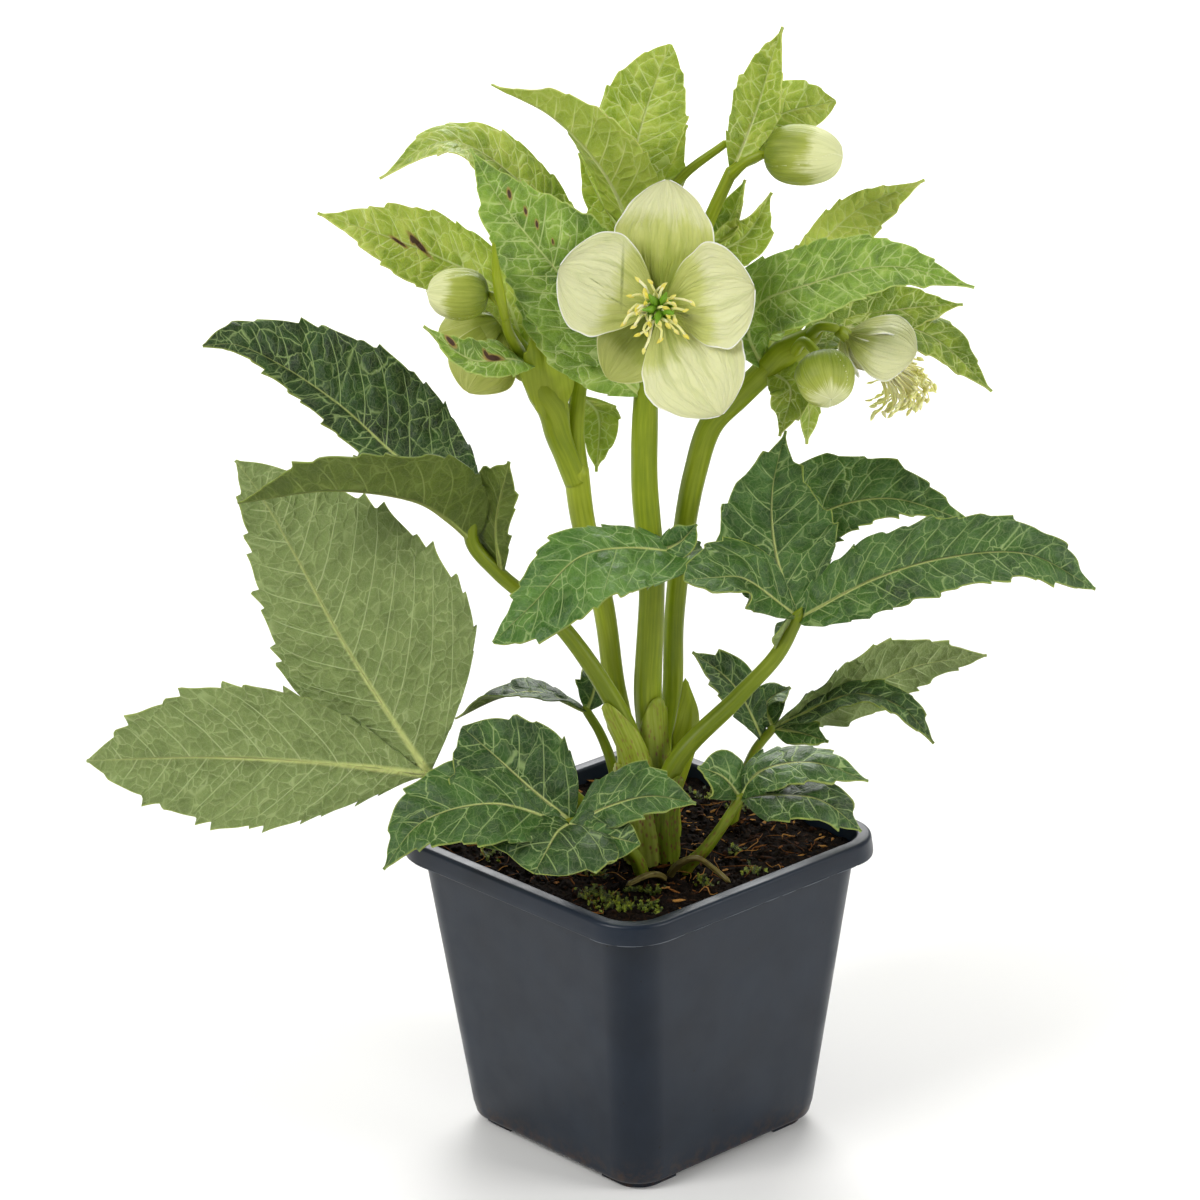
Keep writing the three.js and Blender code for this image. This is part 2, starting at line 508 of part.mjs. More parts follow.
const STEM_PARTS = {
  centre: {
    stalks: [
      // stalk of the open bloom
      { path: [[5, 3, 300], [7, -8, 307], [8.6, -17.6, 316.2]], radii: [2.8, 2.2, 2.2] },
      // branch to the top bud
      { path: [[5, 2, 296], [15, 8, 310], [22.5, 11, 325], [28.5, 12, 340], [36, 13, 356]],
        radii: [3, 2.6, 2.3, 2.2] },
      { path: [[35, 13, 354], [41, 10, 360], [46.2, 8.4, 362.8]], radii: [2.2, 1.7, 1.6] },
      // rib of the leafy branch behind the bloom
      { path: [[4, 8, 332], [18, 18, 352], [34, 20, 364]], radii: [2.2, 1.8, 1.4] },
    ],
    bracts: [
      { rib: [[3, -3, 291], [-10, -12, 308], [-26, -15, 330], [-44, -14, 354], [-54, -9, 371]],
        half: [17, 23], face: [-0.2, -0.85, 0.45], wide: 0.4, wave: 2 },
      { rib: [[3, -3, 280], [-10, -9, 294], [-27, -9, 312], [-44, -3, 334]],
        half: [12, 11], face: [-0.3, -0.8, 0.5], wide: 0.45 },
      { rib: [[3, 9, 326], [-12, 16, 350], [-17, 18, 362]], half: [6, 6], face: [0.1, -0.9, 0.3] },
      { rib: [[4, 7, 328], [-8, 0, 359], [-25, -6, 380.5], [-46, -14, 394.5]],
        half: [15, 11], face: [0.1, 0.5, 0.9], wide: 0.42, fold: 0.5 },
      { rib: [[4, 9, 334], [2, 14, 358], [8.5, 20, 382], [15.5, 24, 398.5]],
        half: [16, 14], face: [0.1, -0.9, 0.3], wide: 0.58, tip: 0.75 },
      { rib: [[6, 10, 335], [15, 26, 357], [21, 31, 368]], half: [7, 7], face: [0.1, -0.8, 0.5] },
      { rib: [[36, 13, 355], [45, 16, 377], [50, 14, 395], [53.5, 10, 407]],
        half: [9, 10], face: [-0.5, -0.8, 0.3], wide: 0.48, fold: 0.3, tip: 1.4 },
      { rib: [[35.5, 13, 355], [52, 27, 371], [73, 31, 375.5]],
        half: [12, 11], face: [-0.3, -0.8, 0.5], wide: 0.55, tip: 0.75 },
      { rib: [[21, 12, 326], [34, 24, 333], [41, 27, 349]],
        half: [7, 7], face: [-0.6, -0.7, 0.3], fold: 0.4 },
      { rib: [[22, 12, 324], [40, 20, 330], [50, 20, 346]],
        half: [8, 8], face: [0.5, -0.7, 0.3], fold: 0.3 },
    ],
  },
  left: {
    stalks: [
      { path: [[-20, 0, 248], [-26, -2, 266], [-28, -3, 277], [-36, -4, 293], [-41.5, -1, 303]],
        radii: [3.2, 3.2, 5, 6.4, 4.4, 2] },
      { path: [[-19, 1, 248], [-20, 2, 267], [-18, 5, 284], [-15, 7, 298]], radii: [3.4, 3, 2.8, 2.4] },
      // stalk of the closed bud
      { path: [[-38, -6, 296], [-42.5, -15, 308], [-44.5, -19, 318], [-47.5, -19.1, 321.9]],
        radii: [2.2, 1.8, 1.5], step: 8 },
      { path: [[-43.5, -18, 313], [-45.5, -23, 328], [-46.5, -23, 341]],
        radii: [1.5, 2, 1.6, 0.6], step: 8 },
    ],
    bracts: [
      { rib: [[-15, 7, 294], [-21, 12, 327], [-38, 15, 353], [-62, 14, 368], [-86, 7, 357]],
        half: [13, 12], face: [-0.1, -0.35, 0.95], wide: 0.62 },
      { rib: [[-37, -2, 296], [-45, 4, 316], [-66, 3, 329.5], [-86, 0, 339], [-107, -6, 348.5]],
        half: [14, 14], face: [0.3, -0.75, 0.6], wide: 0.55 },
      { rib: [[-34, -5, 292], [-42, -19, 299], [-55, -26, 301], [-71, -28, 314]],
        half: [7, 8], face: [0.05, -0.6, 0.8], wide: 0.45 },
      { rib: [[-18, 4, 278], [-12, 13, 268], [-13, 16, 246]], half: [7, 7], face: [0, -0.9, -0.3] },
      // flap of the sheath round the fork
      { rib: [[-27, -5, 270], [-29.5, -9.5, 290], [-31.5, -9, 308]],
        half: [8, 9], face: [0.1, -1, 0.3], wide: 0.55, tip: 0.8 },
    ],
  },
  right: {
    stalks: [
      { path: [[46, 6, 285], [54, 4, 292], [64, 1, 300]], radii: [4.6, 6, 3] },
      // stalks of the round bud and of the half-open bloom
      { path: [[56, 2, 292], [60, -8, 300], [64.5, -15, 297]], radii: [2.2, 1.8, 1.6] },
      { path: [[62, 1, 299], [66, -5, 304.5], [71, -4.8, 303.7]], radii: [2.2, 1.8, 1.7] },
    ],
    bracts: [
      { rib: [[47, 7, 286], [58, 24, 312], [78, 32, 334], [104, 30, 347]],
        half: [6.5, 15], face: [0, -0.7, 0.7], wide: 0.6 },
      { rib: [[46, 3, 287], [41, 4, 300], [45, 0, 311.5], [62, -9, 321], [89, -17, 329],
        [117.5, -22, 322.5]],
        half: [16, 17.5], face: [0.1, -0.65, 0.75], wide: 0.38 },
      { rib: [[58, 8, 293], [76, 22, 298], [97, 30, 300], [118, 31, 301]],
        half: [10, 12], face: [0.1, -0.7, 0.7], wide: 0.5 },
      { rib: [[58, 8, 292], [84, 23, 297.5], [106, 22, 292], [127, 12, 274.5]],
        half: [10, 11], face: [0.15, -0.5, 0.85], wide: 0.55 },
      { rib: [[48, 4, 286], [55, -8, 283], [51, -12, 267]], half: [8, 7], face: [-0.2, -0.6, 0.7] },
      { rib: [[50, 3, 287], [61, -1, 276], [61, -3, 261]], half: [6, 7], face: [0.5, -0.6, 0.5] },
    ],
  },
};

function makeStem(name) {
  const { stalks, bracts } = STEM_PARTS[name];
  return join([stalk(STEMS[name]), ...stalks.map((shape) => stalk(shape)), ...bracts.map(bract)]);
}

// ---------------------------------------------------------------- crown

const CROWN_CORE = {
  path: [[CROWN_X, CROWN_Y, CROWN_FOOT], [CROWN_X, CROWN_Y, CROWN_SHOULDER]],
  radii: [CROWN_RADIUS - 2, CROWN_RADIUS, CROWN_RADIUS, CROWN_RADIUS - 4],
  sides: 10,
  step: 9,
};

const CARRIED = [
  { stem: STEMS.centre, share: 0.28 },
  { stem: STEMS.left, share: 0.24 },
  { stem: STEMS.right, share: 0.19 },
  { stem: PETIOLES.leftUpper, share: 0.44 },
  { stem: PETIOLES.right, share: 0.35 },
];

// The pale sheath round the foot of a stem, from under the stem up to a share of its length.
function sheath({ stem, share }, grow = 0) {
  const curve = curveThrough(stem.path);
  const [x, y] = stem.path[0];
  const path = [[x, y, CROWN_FOOT + 1], ...[0.2, 0.6, 1].map((t) => curve.getPointAt(t * share).toArray())];
  const radii = [stem.radii[0] + 0.8, stem.radii[0] + 2, stem.radii[0] + 1.6, stem.radii[1] + 0.85];
  return stalk({ path, radii, step: 18 }, grow);
}

// The rhizome head: a short core in the soil with a sheath round each stem and petiole that it
// carries, and a small leaf bud at its side. Each of them stands in a socket of its own.
const crownBody = (grow = 0) => join([stalk(CROWN_CORE, grow), ...CARRIED.map((one) => sheath(one, grow))]);

function makeCrown() {
  const bud = stalk({
    path: [[13, -2, 130], [16.5, -3, 148], [18, -4, 160], [17.5, -4, 173]],
    radii: [2.4, 3.4, 5, 3.6, 0.9],
    squash: 0.7,
    step: 7,
  });
  const sockets = [...Object.values(STEMS), ...Object.values(PETIOLES)].map((stem) => stalk(stem, GAP));
  return mainBody(cut(crownBody().add(bud), sockets));
}

// Withered stalks of last year's leaves, bent over on the soil in front of the crown.
const OLD_STALKS = [
  { path: [[9, -28, 99], [12, -31, 112], [20, -35, 118], [27, -37, 114], [31, -40, 111.5]],
    radii: [1.5, 1.3, 1.1, 0.9], sides: 6, step: 7 },
  { path: [[9, -28, 100], [8, -33, 110], [3, -39, 113.5], [-4, -43, 112]],
    radii: [1.4, 1.2, 0.9], sides: 6, step: 7 },
];

// ---------------------------------------------------------------- buds and blooms

// A closed bud: an egg of overlapping sepals, whose edges wind round it as low steps.
function makeBud({ foot, nose, radius, sides = 12, rows = 7 }) {
  const start = vec(foot);
  const axis = vec(nose).sub(start);
  const length = axis.length();
  axis.normalize();
  const side = new THREE.Vector3(0, 0, 1).addScaledVector(axis, -axis.z).normalize();
  const across = axis.clone().cross(side);
  const rings = [];
  for (let row = 0; row <= rows; row += 1) {
    const t = row / rows;
    const swell = Math.sin(Math.PI * (0.05 + 0.91 * t) ** 0.92) ** 0.72;
    const centre = start.clone().addScaledVector(axis, length * (t - 0.06 * Math.sin(2 * Math.PI * t)));
    rings.push(Array.from({ length: sides }, (_, i) => {
      const angle = (2 * Math.PI * i) / sides;
      const step = (3 * (i / sides) + 0.45 * t) % 1;
      const r = radius * swell * (0.95 + 0.07 * step);
      return centre.clone()
        .addScaledVector(side, r * Math.cos(angle))
        .addScaledVector(across, r * Math.sin(angle));
    }));
  }
  return skin(rings);
}

// A bloom's own frame: x to its right, y up its face, z out of the face.
function bloomFrame({ centre, facing }) {
  const out = vec(facing).normalize();
  const right = new THREE.Vector3(0, 0, 1).cross(out).normalize();
  const upward = out.clone().cross(right);
  const basis = new THREE.Matrix4().makeBasis(right, upward, out).setPosition(vec(centre));
  const point = (x, y, z) => new THREE.Vector3(x, y, z).applyMatrix4(basis).toArray();
  const direction = (x, y, z) => new THREE.Vector3(x, y, z).transformDirection(basis).toArray();
  return { point, direction };
}

// One sepal. turn: its direction in the bloom's face, in degrees. rise: how far it bends forward
// over its length, as a share of the length. layer: its place in the overlapping whorl.
function sepal(frame, shape) {
  const { turn, long, half, rise, hook = 0, layer = 0, cup = 0.12, wide = 0.56, smoothRows = 6 } = shape;
  const c = Math.cos(radians(turn));
  const s = Math.sin(radians(turn));
  const rib = [0.03, 0.33, 0.67, 1].map((share) => {
    const out = long * (share - hook * share * share);
    return frame.point(out * c, out * s, layer + long * rise * share * (1.25 - 0.25 * share));
  });
  const face = frame.direction(-rise * c, -rise * s, 1);
  return blade({ rib, half: [half, half], face, pitch: 0, wide, base: 0.9, tip: 0.62, fold: 0.02, cup,
    wave: 0.8, neck: 2.4, smoothRows, columns: smoothRows > 4 ? WIDE_COLUMNS : COLUMNS });
}

const MAIN_BLOOM = {
  centre: [10, -24, 317.5],
  facing: [-0.06, -0.94, 0.32],
  knob: 4.6,
  seat: 2,
  sepals: [
    { turn: 87, long: 44, half: 17, rise: 0.02, layer: -0.8, wide: 0.5 },
    { turn: 158, long: 37, half: 18.5, rise: 0.14, layer: 0.5, wide: 0.62 },
    { turn: 12, long: 33, half: 18.5, rise: 0.16, layer: 0.8, wide: 0.62 },
    { turn: -60, long: 42, half: 18.5, rise: 0.1, layer: -0.3 },
    { turn: -128, long: 30, half: 12, rise: -0.3, layer: -1.6 },
  ],
};

const HALF_OPEN_BLOOM = {
  centre: [73, -4, 302],
  facing: [0.72, 0.3, -0.62],
  knob: 1.5,
  seat: 5,
  sepals: [
    { turn: 150, long: 29, half: 13.5, rise: 0.7, layer: 0.8 },
    { turn: 78, long: 22, half: 10, rise: 0.9, layer: 0.4 },
    { turn: 12, long: 17, half: 8, rise: 1, layer: 0 },
    { turn: 294, long: 17, half: 8, rise: 1, layer: 0.4 },
    { turn: 222, long: 14, half: 7, rise: 1, layer: 0 },
  ].map((one) => ({ ...one, hook: 0.42, cup: 0.2, wide: 0.6, smoothRows: 3 })),
};

const NODDING_BLOOM = {
  centre: [-42, 5, 307],
  facing: [-0.35, 0.5, -0.75],
  knob: 1.5,
  seat: 3,
  sepals: [[20, 26], [92, 26], [164, 26], [236, 26], [322, 31]].map(([turn, long], i) => (
    { turn, long, half: 12.5, rise: 0.5, hook: 0.15, layer: 0.4 * (i % 3),
      cup: 0.2, wide: 0.6, smoothRows: 3 })),
};

// The sepals of a bloom on the knob that ends its stalk. The knob reaches up to the heart's seat.
function makeSepals(bloom) {
  const frame = bloomFrame(bloom);
  const path = [frame.point(0, 0, -bloom.knob), frame.point(0, 0, bloom.seat)];
  const knob = stalk({ path, radii: [2.4, 2.7], sides: 8 });
  return join([knob, ...bloom.sepals.map((one) => sepal(frame, one))]);
}

// Stamens in rings round the heart of a bloom: thin threads with an anther at their ends.
// spread: how far they reach out, long: how far they stand forward, droop: how far their ends sag.
function makeHeart(bloom, { count, spread, long, droop }) {
  const frame = bloomFrame(bloom);
  const foot = bloom.seat + GAP;
  const base = stalk({ path: [frame.point(0, 0, foot), frame.point(0, 0, foot + 2.6)], radii: [2.2, 1.8] });
  const golden = 137.5;
  const threads = Array.from({ length: count }, (_, i) => {
    const angle = radians(golden * i);
    const share = 0.35 + 0.65 * (i / count);
    const reach = spread * share;
    const [c, s] = [Math.cos(angle), Math.sin(angle)];
    const path = [
      frame.point(1.2 * c, 1.2 * s, foot + 1.2),
      frame.point(0.55 * reach * c, 0.55 * reach * s, foot + 0.75 * long * (1.25 - 0.4 * share)),
      frame.point(reach * c, reach * s - droop * share, foot + long * (1.2 - 0.5 * share)),
    ];
    return stalk({ path, radii: [0.45, 0.42, 0.42, 1], sides: 3, step: long / 1.7 });
  });
  const carpels = [60, 180, 300].map((turn) => {
    const [c, s] = [Math.cos(radians(turn)), Math.sin(radians(turn))];
    const path = [[1, 0], [1.8, 4.5], [2.8, 9]].map(([r, z]) => frame.point(r * c, r * s, foot + 1 + z));
    return stalk({ path, radii: [1, 1.3, 0.6], sides: 5, step: 5 });
  });
  return join([base, ...threads, ...carpels]);
}

const BUDS = {
  bud_left: { foot: [-48.6, -19.2, 322.2], nose: [-70, -18, 323], radius: 9.2 },
  bud_top: { foot: [47.4, 8, 363.4], nose: [73.5, -2, 364], radius: 11 },
  bud_right: { foot: [65, -15.4, 296], nose: [68, -31, 286], radius: 10.6 },
};

// ---------------------------------------------------------------- the object

const pieces = new THREE.Group();
const plant = new THREE.Group();
plant.rotation.z = radians(PLANT_TURN);
pieces.add(plant);

function place(group, name, solid, material) {
  const mesh = new THREE.Mesh(geometryFrom(solid), material);
  mesh.name = name;
  group.add(mesh);
}

const SOIL_GAP = GAP + 0.03;
const inSoil = [...Object.values(PETIOLES), ...OLD_STALKS].map((stem) => stalk(stem, SOIL_GAP));
inSoil.push(crownBody(SOIL_GAP));

place(pieces, 'pot', makePot(), FINISHES.plastic);
place(plant, 'soil', mainBody(cut(makeSoil(), inSoil)), FINISHES.peat);
place(plant, 'crown', makeCrown(), FINISHES.sheath);
place(plant, 'old_stalks', join(OLD_STALKS.map((shape) => stalk(shape))), FINISHES.withered);

['centre', 'left', 'right'].forEach((name) => place(plant, `stem_${name}`, makeStem(name), FINISHES.stem));

const LEAF_NAMES = {
  leftUpper: 'leaf_left_upper',
  leftLarge: 'leaf_left_large',
  backLeft: 'leaf_back_left',
  frontLeft: 'leaf_front_left',
  frontRight: 'leaf_front_right',
  right: 'leaf_right',
  backRight: 'leaf_back_right',
};
Object.entries(LEAF_NAMES).forEach(([key, name]) => {
  place(plant, name, leafSolid(PETIOLES[key], LEAF_BLADES[key]), FINISHES.leaf);
});
place(plant, 'leaf_stem_low', join(STEM_LEAF.map((shape) => blade(shape))), FINISHES.leaf);

const BLOOMS = {
  bloom_main: [MAIN_BLOOM, { count: 13, spread: 12, long: 10, droop: 2.5 }],
  bloom_half_open: [HALF_OPEN_BLOOM, { count: 9, spread: 10, long: 24, droop: 4 }],
  bloom_nodding: [NODDING_BLOOM, { count: 7, spread: 8, long: 9, droop: 0 }],
};
Object.entries(BLOOMS).forEach(([name, [bloom, heart]]) => {
  place(plant, name, makeSepals(bloom), FINISHES.sepal);
  place(plant, `${name}_heart`, makeHeart(bloom, heart), FINISHES.stamen);
});
Object.entries(BUDS).forEach(([name, shape]) => place(plant, name, makeBud(shape), FINISHES.bud));

export default pieces;
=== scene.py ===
# %% [markdown]
# # A hellebore in its nursery pot
# A hellebore is a garden perennial: leathery leaves on long stalks, and flowering stems that carry
# light green bracts, nodding blooms and round buds, all from one short crown in dark peat.
# The CAD model fixes every size and place. This lesson keeps its curves and outlines and gives each
# piece the fine form and the finish of the living thing: teeth, ribs, veins, stamens, bark and moss.

# %% Load the fixed frame
import math

import bpy
import numpy as np
from mathutils import Matrix, Vector


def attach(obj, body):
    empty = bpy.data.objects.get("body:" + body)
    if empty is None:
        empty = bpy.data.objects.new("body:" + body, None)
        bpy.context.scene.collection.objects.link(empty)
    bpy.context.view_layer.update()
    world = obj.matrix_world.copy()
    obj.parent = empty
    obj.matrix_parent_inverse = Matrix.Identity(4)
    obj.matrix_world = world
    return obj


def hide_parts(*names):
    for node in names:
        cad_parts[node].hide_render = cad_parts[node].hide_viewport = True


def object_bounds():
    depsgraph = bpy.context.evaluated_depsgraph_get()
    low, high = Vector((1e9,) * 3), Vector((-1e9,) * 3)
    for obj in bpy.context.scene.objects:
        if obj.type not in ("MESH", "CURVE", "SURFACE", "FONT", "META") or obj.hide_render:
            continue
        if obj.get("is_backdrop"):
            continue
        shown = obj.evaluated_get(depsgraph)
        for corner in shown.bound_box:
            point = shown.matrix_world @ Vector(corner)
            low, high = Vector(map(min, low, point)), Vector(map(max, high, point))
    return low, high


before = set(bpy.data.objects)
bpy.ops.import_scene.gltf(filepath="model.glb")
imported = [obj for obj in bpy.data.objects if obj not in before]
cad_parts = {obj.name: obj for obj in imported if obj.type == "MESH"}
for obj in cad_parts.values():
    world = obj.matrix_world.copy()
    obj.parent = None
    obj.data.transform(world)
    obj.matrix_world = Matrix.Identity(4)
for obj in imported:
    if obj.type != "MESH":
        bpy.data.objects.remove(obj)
cad_box = [list(corner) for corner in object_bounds()]
print("CAD nodes:", len(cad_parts))
print("CAD box in mm:", [[round(1000 * value, 1) for value in corner] for corner in cad_box])

# %% [markdown]
# The pot's sides lie along X and Y. The plant is drawn in a frame of its own, x to the right, y away
# from the viewer and z up, which is turned about the pot's axis. One function takes points from
# millimetres in either frame to metres in the scene.

# %% The plant's frame
PLANT_TURN = math.radians(47.6)
TURN = np.array(Matrix.Rotation(PLANT_TURN, 3, "Z"))


def to_scene(points, in_plant=True):
    """Millimetres in the plant's or the pot's frame, to metres in the scene."""
    points = np.asarray(points, float)
    return (points @ TURN.T if in_plant else points) / 1000


print("the plant's x axis in the scene:", to_scene([1000, 0, 0]).round(3))

# %% [markdown]
# The camera stands 1.6 m away, 20 degrees above the horizon, with a long lens, so that the square
# pot keeps its edges nearly parallel. It could be placed by hand with a constraint. A matrix built
# from its three axes is surer, and takes in the one degree of roll.

# %% Camera
ELEVATION = 0.347  # radians
ROLL = -0.018  # radians
DISTANCE = 1.6407
AIM = Vector((-0.01248, 0, 0.2033))
SENSOR = 36  # millimetres
FOCAL_IN_WIDTHS = 4618.5 / 1200  # the focal length in widths of the frame
look = Vector((0, math.cos(ELEVATION), -math.sin(ELEVATION)))
level = Vector((1, 0, 0))
upward = level.cross(look)
right = level * math.cos(ROLL) + upward * math.sin(ROLL)
top = upward * math.cos(ROLL) - level * math.sin(ROLL)
pose = Matrix((right, top, -look)).transposed().to_4x4()
pose.translation = AIM - look * DISTANCE
camera_data = bpy.data.cameras.new("camera")
camera_data.sensor_width = SENSOR
camera_data.lens = SENSOR * FOCAL_IN_WIDTHS
camera = bpy.data.objects.new("camera", camera_data)
bpy.context.collection.objects.link(camera)
camera.matrix_world = Matrix.Rotation(PLANT_TURN, 4, "Z") @ pose
bpy.context.scene.camera = camera
place = [round(value, 3) for value in camera.matrix_world.translation]
print("camera at", place, "with a lens of", round(camera_data.lens, 1), "mm")

# %% [markdown]
# Materials are node trees. One small function adds a node, sets it up and links it, and one turns
# an sRGB hex colour, as a colour picker shows it, into the linear values that a shader works with.

# %% Nodes and colours


def linear(code):
    """An sRGB hex colour as linear RGBA."""
    parts = [int(code[i:i + 2], 16) / 255 for i in (1, 3, 5)]
    return [c / 12.92 if c <= 0.04045 else ((c + 0.055) / 1.055) ** 2.4 for c in parts] + [1]


def add(tree, kind, inputs=(), stops=(), **settings):
    """Adds a shader node with its settings, and fills or links its inputs."""
    made = tree.nodes.new("ShaderNode" + kind)
    for name, value in settings.items():
        setattr(made, name, value)
    for number, (place, code) in enumerate(stops):
        ramp = made.color_ramp.elements
        stop = ramp[number] if number < 2 else ramp.new(place)
        stop.position, stop.color = place, linear(code)
    for key, value in dict(inputs).items():
        if isinstance(value, bpy.types.NodeSocket):
            tree.links.new(value, made.inputs[key])
        else:
            made.inputs[key].default_value = linear(value) if isinstance(value, str) else value
    return made


def new_material(name, **sockets):
    """A material with one Principled shader, whose sockets are filled in."""
    material = bpy.data.materials.new(name)
    material.use_nodes = True
    material.node_tree.nodes.clear()
    tree = material.node_tree
    inputs = {key.replace("_", " "): value for key, value in sockets.items()}
    shader = add(tree, "BsdfPrincipled", inputs)
    add(tree, "OutputMaterial", {0: shader.outputs[0]})
    return material, tree, shader


def in_millimetres(tree):
    """The place on a piece in millimetres, for textures that have a real size."""
    spot = add(tree, "TexCoord").outputs["Object"]
    return add(tree, "VectorMath", {0: spot, 3: 1000.0}, operation="SCALE").outputs[0]


print("slate in linear light:", [round(value, 3) for value in linear("#3d434b")])

# %% [markdown]
# The plant stands on a plain pale floor in a bright, even studio. The floor is matt paper, wide
# enough to have no visible edge.

# %% Floor
FLOOR_REACH = 4
corners = [(-FLOOR_REACH, -FLOOR_REACH, 0), (FLOOR_REACH, -FLOOR_REACH, 0)]
corners += [(FLOOR_REACH, FLOOR_REACH, 0), (-FLOOR_REACH, FLOOR_REACH, 0)]
floor_mesh = bpy.data.meshes.new("floor")
floor_mesh.from_pydata(corners, [], [(0, 1, 2, 3)])
floor = bpy.data.objects.new("floor", floor_mesh)
bpy.context.collection.objects.link(floor)
floor_paper, _, _ = new_material("matt_studio_paper", Base_Color="#f4f3f0", Roughness=0.9)
floor_mesh.materials.append(floor_paper)
floor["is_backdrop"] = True
print("floor:", 2 * FLOOR_REACH, "m wide")

# %% [markdown]
# Leaves look leathery when large soft lights roll over them: a big softbox above on the left, a
# weaker one on the right, one behind, and a lamp that keeps the floor behind bright. The world adds
# light from all round. Its front is darker, or the pot and the leaves would look flat and milky.

# %% Light
FRONT_LIGHT = 0.12
ROUND_LIGHT = 0.46
world = bpy.data.worlds.new("studio")
world.use_nodes = True
air = world.node_tree
air.nodes["Background"].inputs["Color"].default_value = linear("#f7f8fa")
front = Vector(to_scene([0.0, -1000.0, 0.0])).normalized()
ray = add(air, "TexCoord").outputs["Generated"]
ahead = add(air, "VectorMath", {0: ray, 1: tuple(front)}, operation="DOT_PRODUCT").outputs["Value"]
limits = {0: ahead, 1: 0.25, 2: 0.95, 3: ROUND_LIGHT, 4: FRONT_LIGHT}
around = add(air, "MapRange", limits, interpolation_type="SMOOTHSTEP").outputs[0]
air.links.new(around, air.nodes["Background"].inputs["Strength"])
bpy.context.scene.world = world
bpy.context.scene.view_settings.view_transform = "Standard"

# each lamp's place and width in metres, in the plant's frame, and its watts
LAMPS = {
    "softbox_left": ((-1.25, -0.95, 1.45), 0.8, 24),
    "softbox_right": ((1.4, -0.6, 0.9), 0.8, 13),
    "softbox_back": ((0.2, 1.2, 1.3), 0.9, 10),
    "backdrop_lamp": ((0.0, 3.0, 1.5), 2.2, 90),
}
LEAF_HEIGHT = 0.2
for name, (place, size, watts) in LAMPS.items():
    lamp_data = bpy.data.lights.new(name, "AREA")
    lamp_data.size = size
    lamp_data.energy = watts
    lamp = bpy.data.objects.new(name, lamp_data)
    bpy.context.collection.objects.link(lamp)
    lamp.location = Vector(to_scene(np.array(place) * 1000))
    # the backdrop lamp looks straight down, the others at the leaves
    aim = Vector((0, 0, LEAF_HEIGHT))
    if name == "backdrop_lamp":
        aim = Vector((lamp.location.x, lamp.location.y, 0))
    lamp.rotation_mode = "QUATERNION"
    lamp.rotation_quaternion = (aim - lamp.location).to_track_quat("-Z", "Y")
print("lamps:", ", ".join(LAMPS))

# %% [markdown]
# Every stalk and every midrib follows a smooth curve through a few points. The curve is the
# centripetal Catmull-Rom spline of the CAD source, laid out in even steps, so that both match.

# %% Smooth paths


def unit(vectors):
    """Vectors at length one."""
    vectors = np.asarray(vectors, float)
    return vectors / np.maximum(np.linalg.norm(vectors, axis=-1, keepdims=True), 1e-9)


def smooth_path(points, steps):
    """Even places along a spline through points, the directions there, and the length."""
    knots = np.array(points, float)
    knots = np.vstack([2 * knots[0] - knots[1], knots, 2 * knots[-1] - knots[-2]])
    share = np.linspace(0, 1, 40, endpoint=False)[:, None]
    runs = []
    for a, b, c, d in zip(knots, knots[1:], knots[2:], knots[3:]):
        before, here, after = (max(np.linalg.norm(q - p), 1e-6) ** 0.5 for p, q in ((a, b), (b, c), (c, d)))
        leave = here * ((b - a) / before - (c - a) / (before + here) + (c - b) / here)
        reach = here * ((c - b) / here - (d - b) / (here + after) + (d - c) / after)
        cubic = (2 * b - 2 * c + leave + reach) * share**3
        square = (3 * c - 3 * b - 2 * leave - reach) * share**2
        runs.append(cubic + square + leave * share + b)
    dense = np.vstack([*runs, knots[-2:-1]])
    arc = np.concatenate([[0], np.cumsum(np.linalg.norm(np.diff(dense, axis=0), axis=1))])
    even = np.linspace(0, arc[-1], steps + 1)
    line = np.stack([np.interp(even, arc, dense[:, axis]) for axis in range(3)], axis=1)
    return line, unit(np.gradient(line, axis=0)), arc[-1]


print("a test path is", round(smooth_path([(0, 0, 0), (3, 4, 0), (6, 8, 0)], 8)[2], 2), "mm long")

# %% [markdown]
# Nothing that grew is quite even. A noise could be used for that. Five sine waves in random
# directions are smoother and cheaper, and a seed gives the same swell on every run.

# %% Random swells


def ripple(x, y, seed, size):
    """A smooth random swell of about unit height over x and y, with waves about size long."""
    dice = np.random.default_rng(int(1000 * seed))
    total = np.zeros(np.broadcast(x, y).shape)
    for _ in range(5):
        turn, phase = dice.uniform(0, 2 * np.pi, 2)
        pitch = size * dice.uniform(0.7, 1.5)
        total += np.sin(2 * np.pi * (x * np.cos(turn) + y * np.sin(turn)) / pitch + phase)
    return total / 2.4


print("one swell:", ripple(np.arange(0, 30, 6), np.zeros(5), 1, 20).round(2))

# %% [markdown]
# All living pieces are grids of quads: rows along the piece and columns across or round it. Sculpting
# could give the same forms, but a grid can be measured and made again. One function joins such grids
# into a mesh. Each grid carries a few numbers per point that the materials read, such as the
# distance from the midrib, because a plant's pattern follows its own growth.

# %% Grids to pieces


def grid_faces(rows, columns, closed=False):
    """Quads between neighbouring rows and columns, whose face looks along columns x rows."""
    row = np.arange(rows - 1)[:, None] * columns
    column = np.arange(columns if closed else columns - 1)[None, :]
    after = (column + 1) % columns
    corners = [row + column, row + after, row + columns + after, row + columns + column]
    return np.stack(corners, -1).reshape(-1, 4)


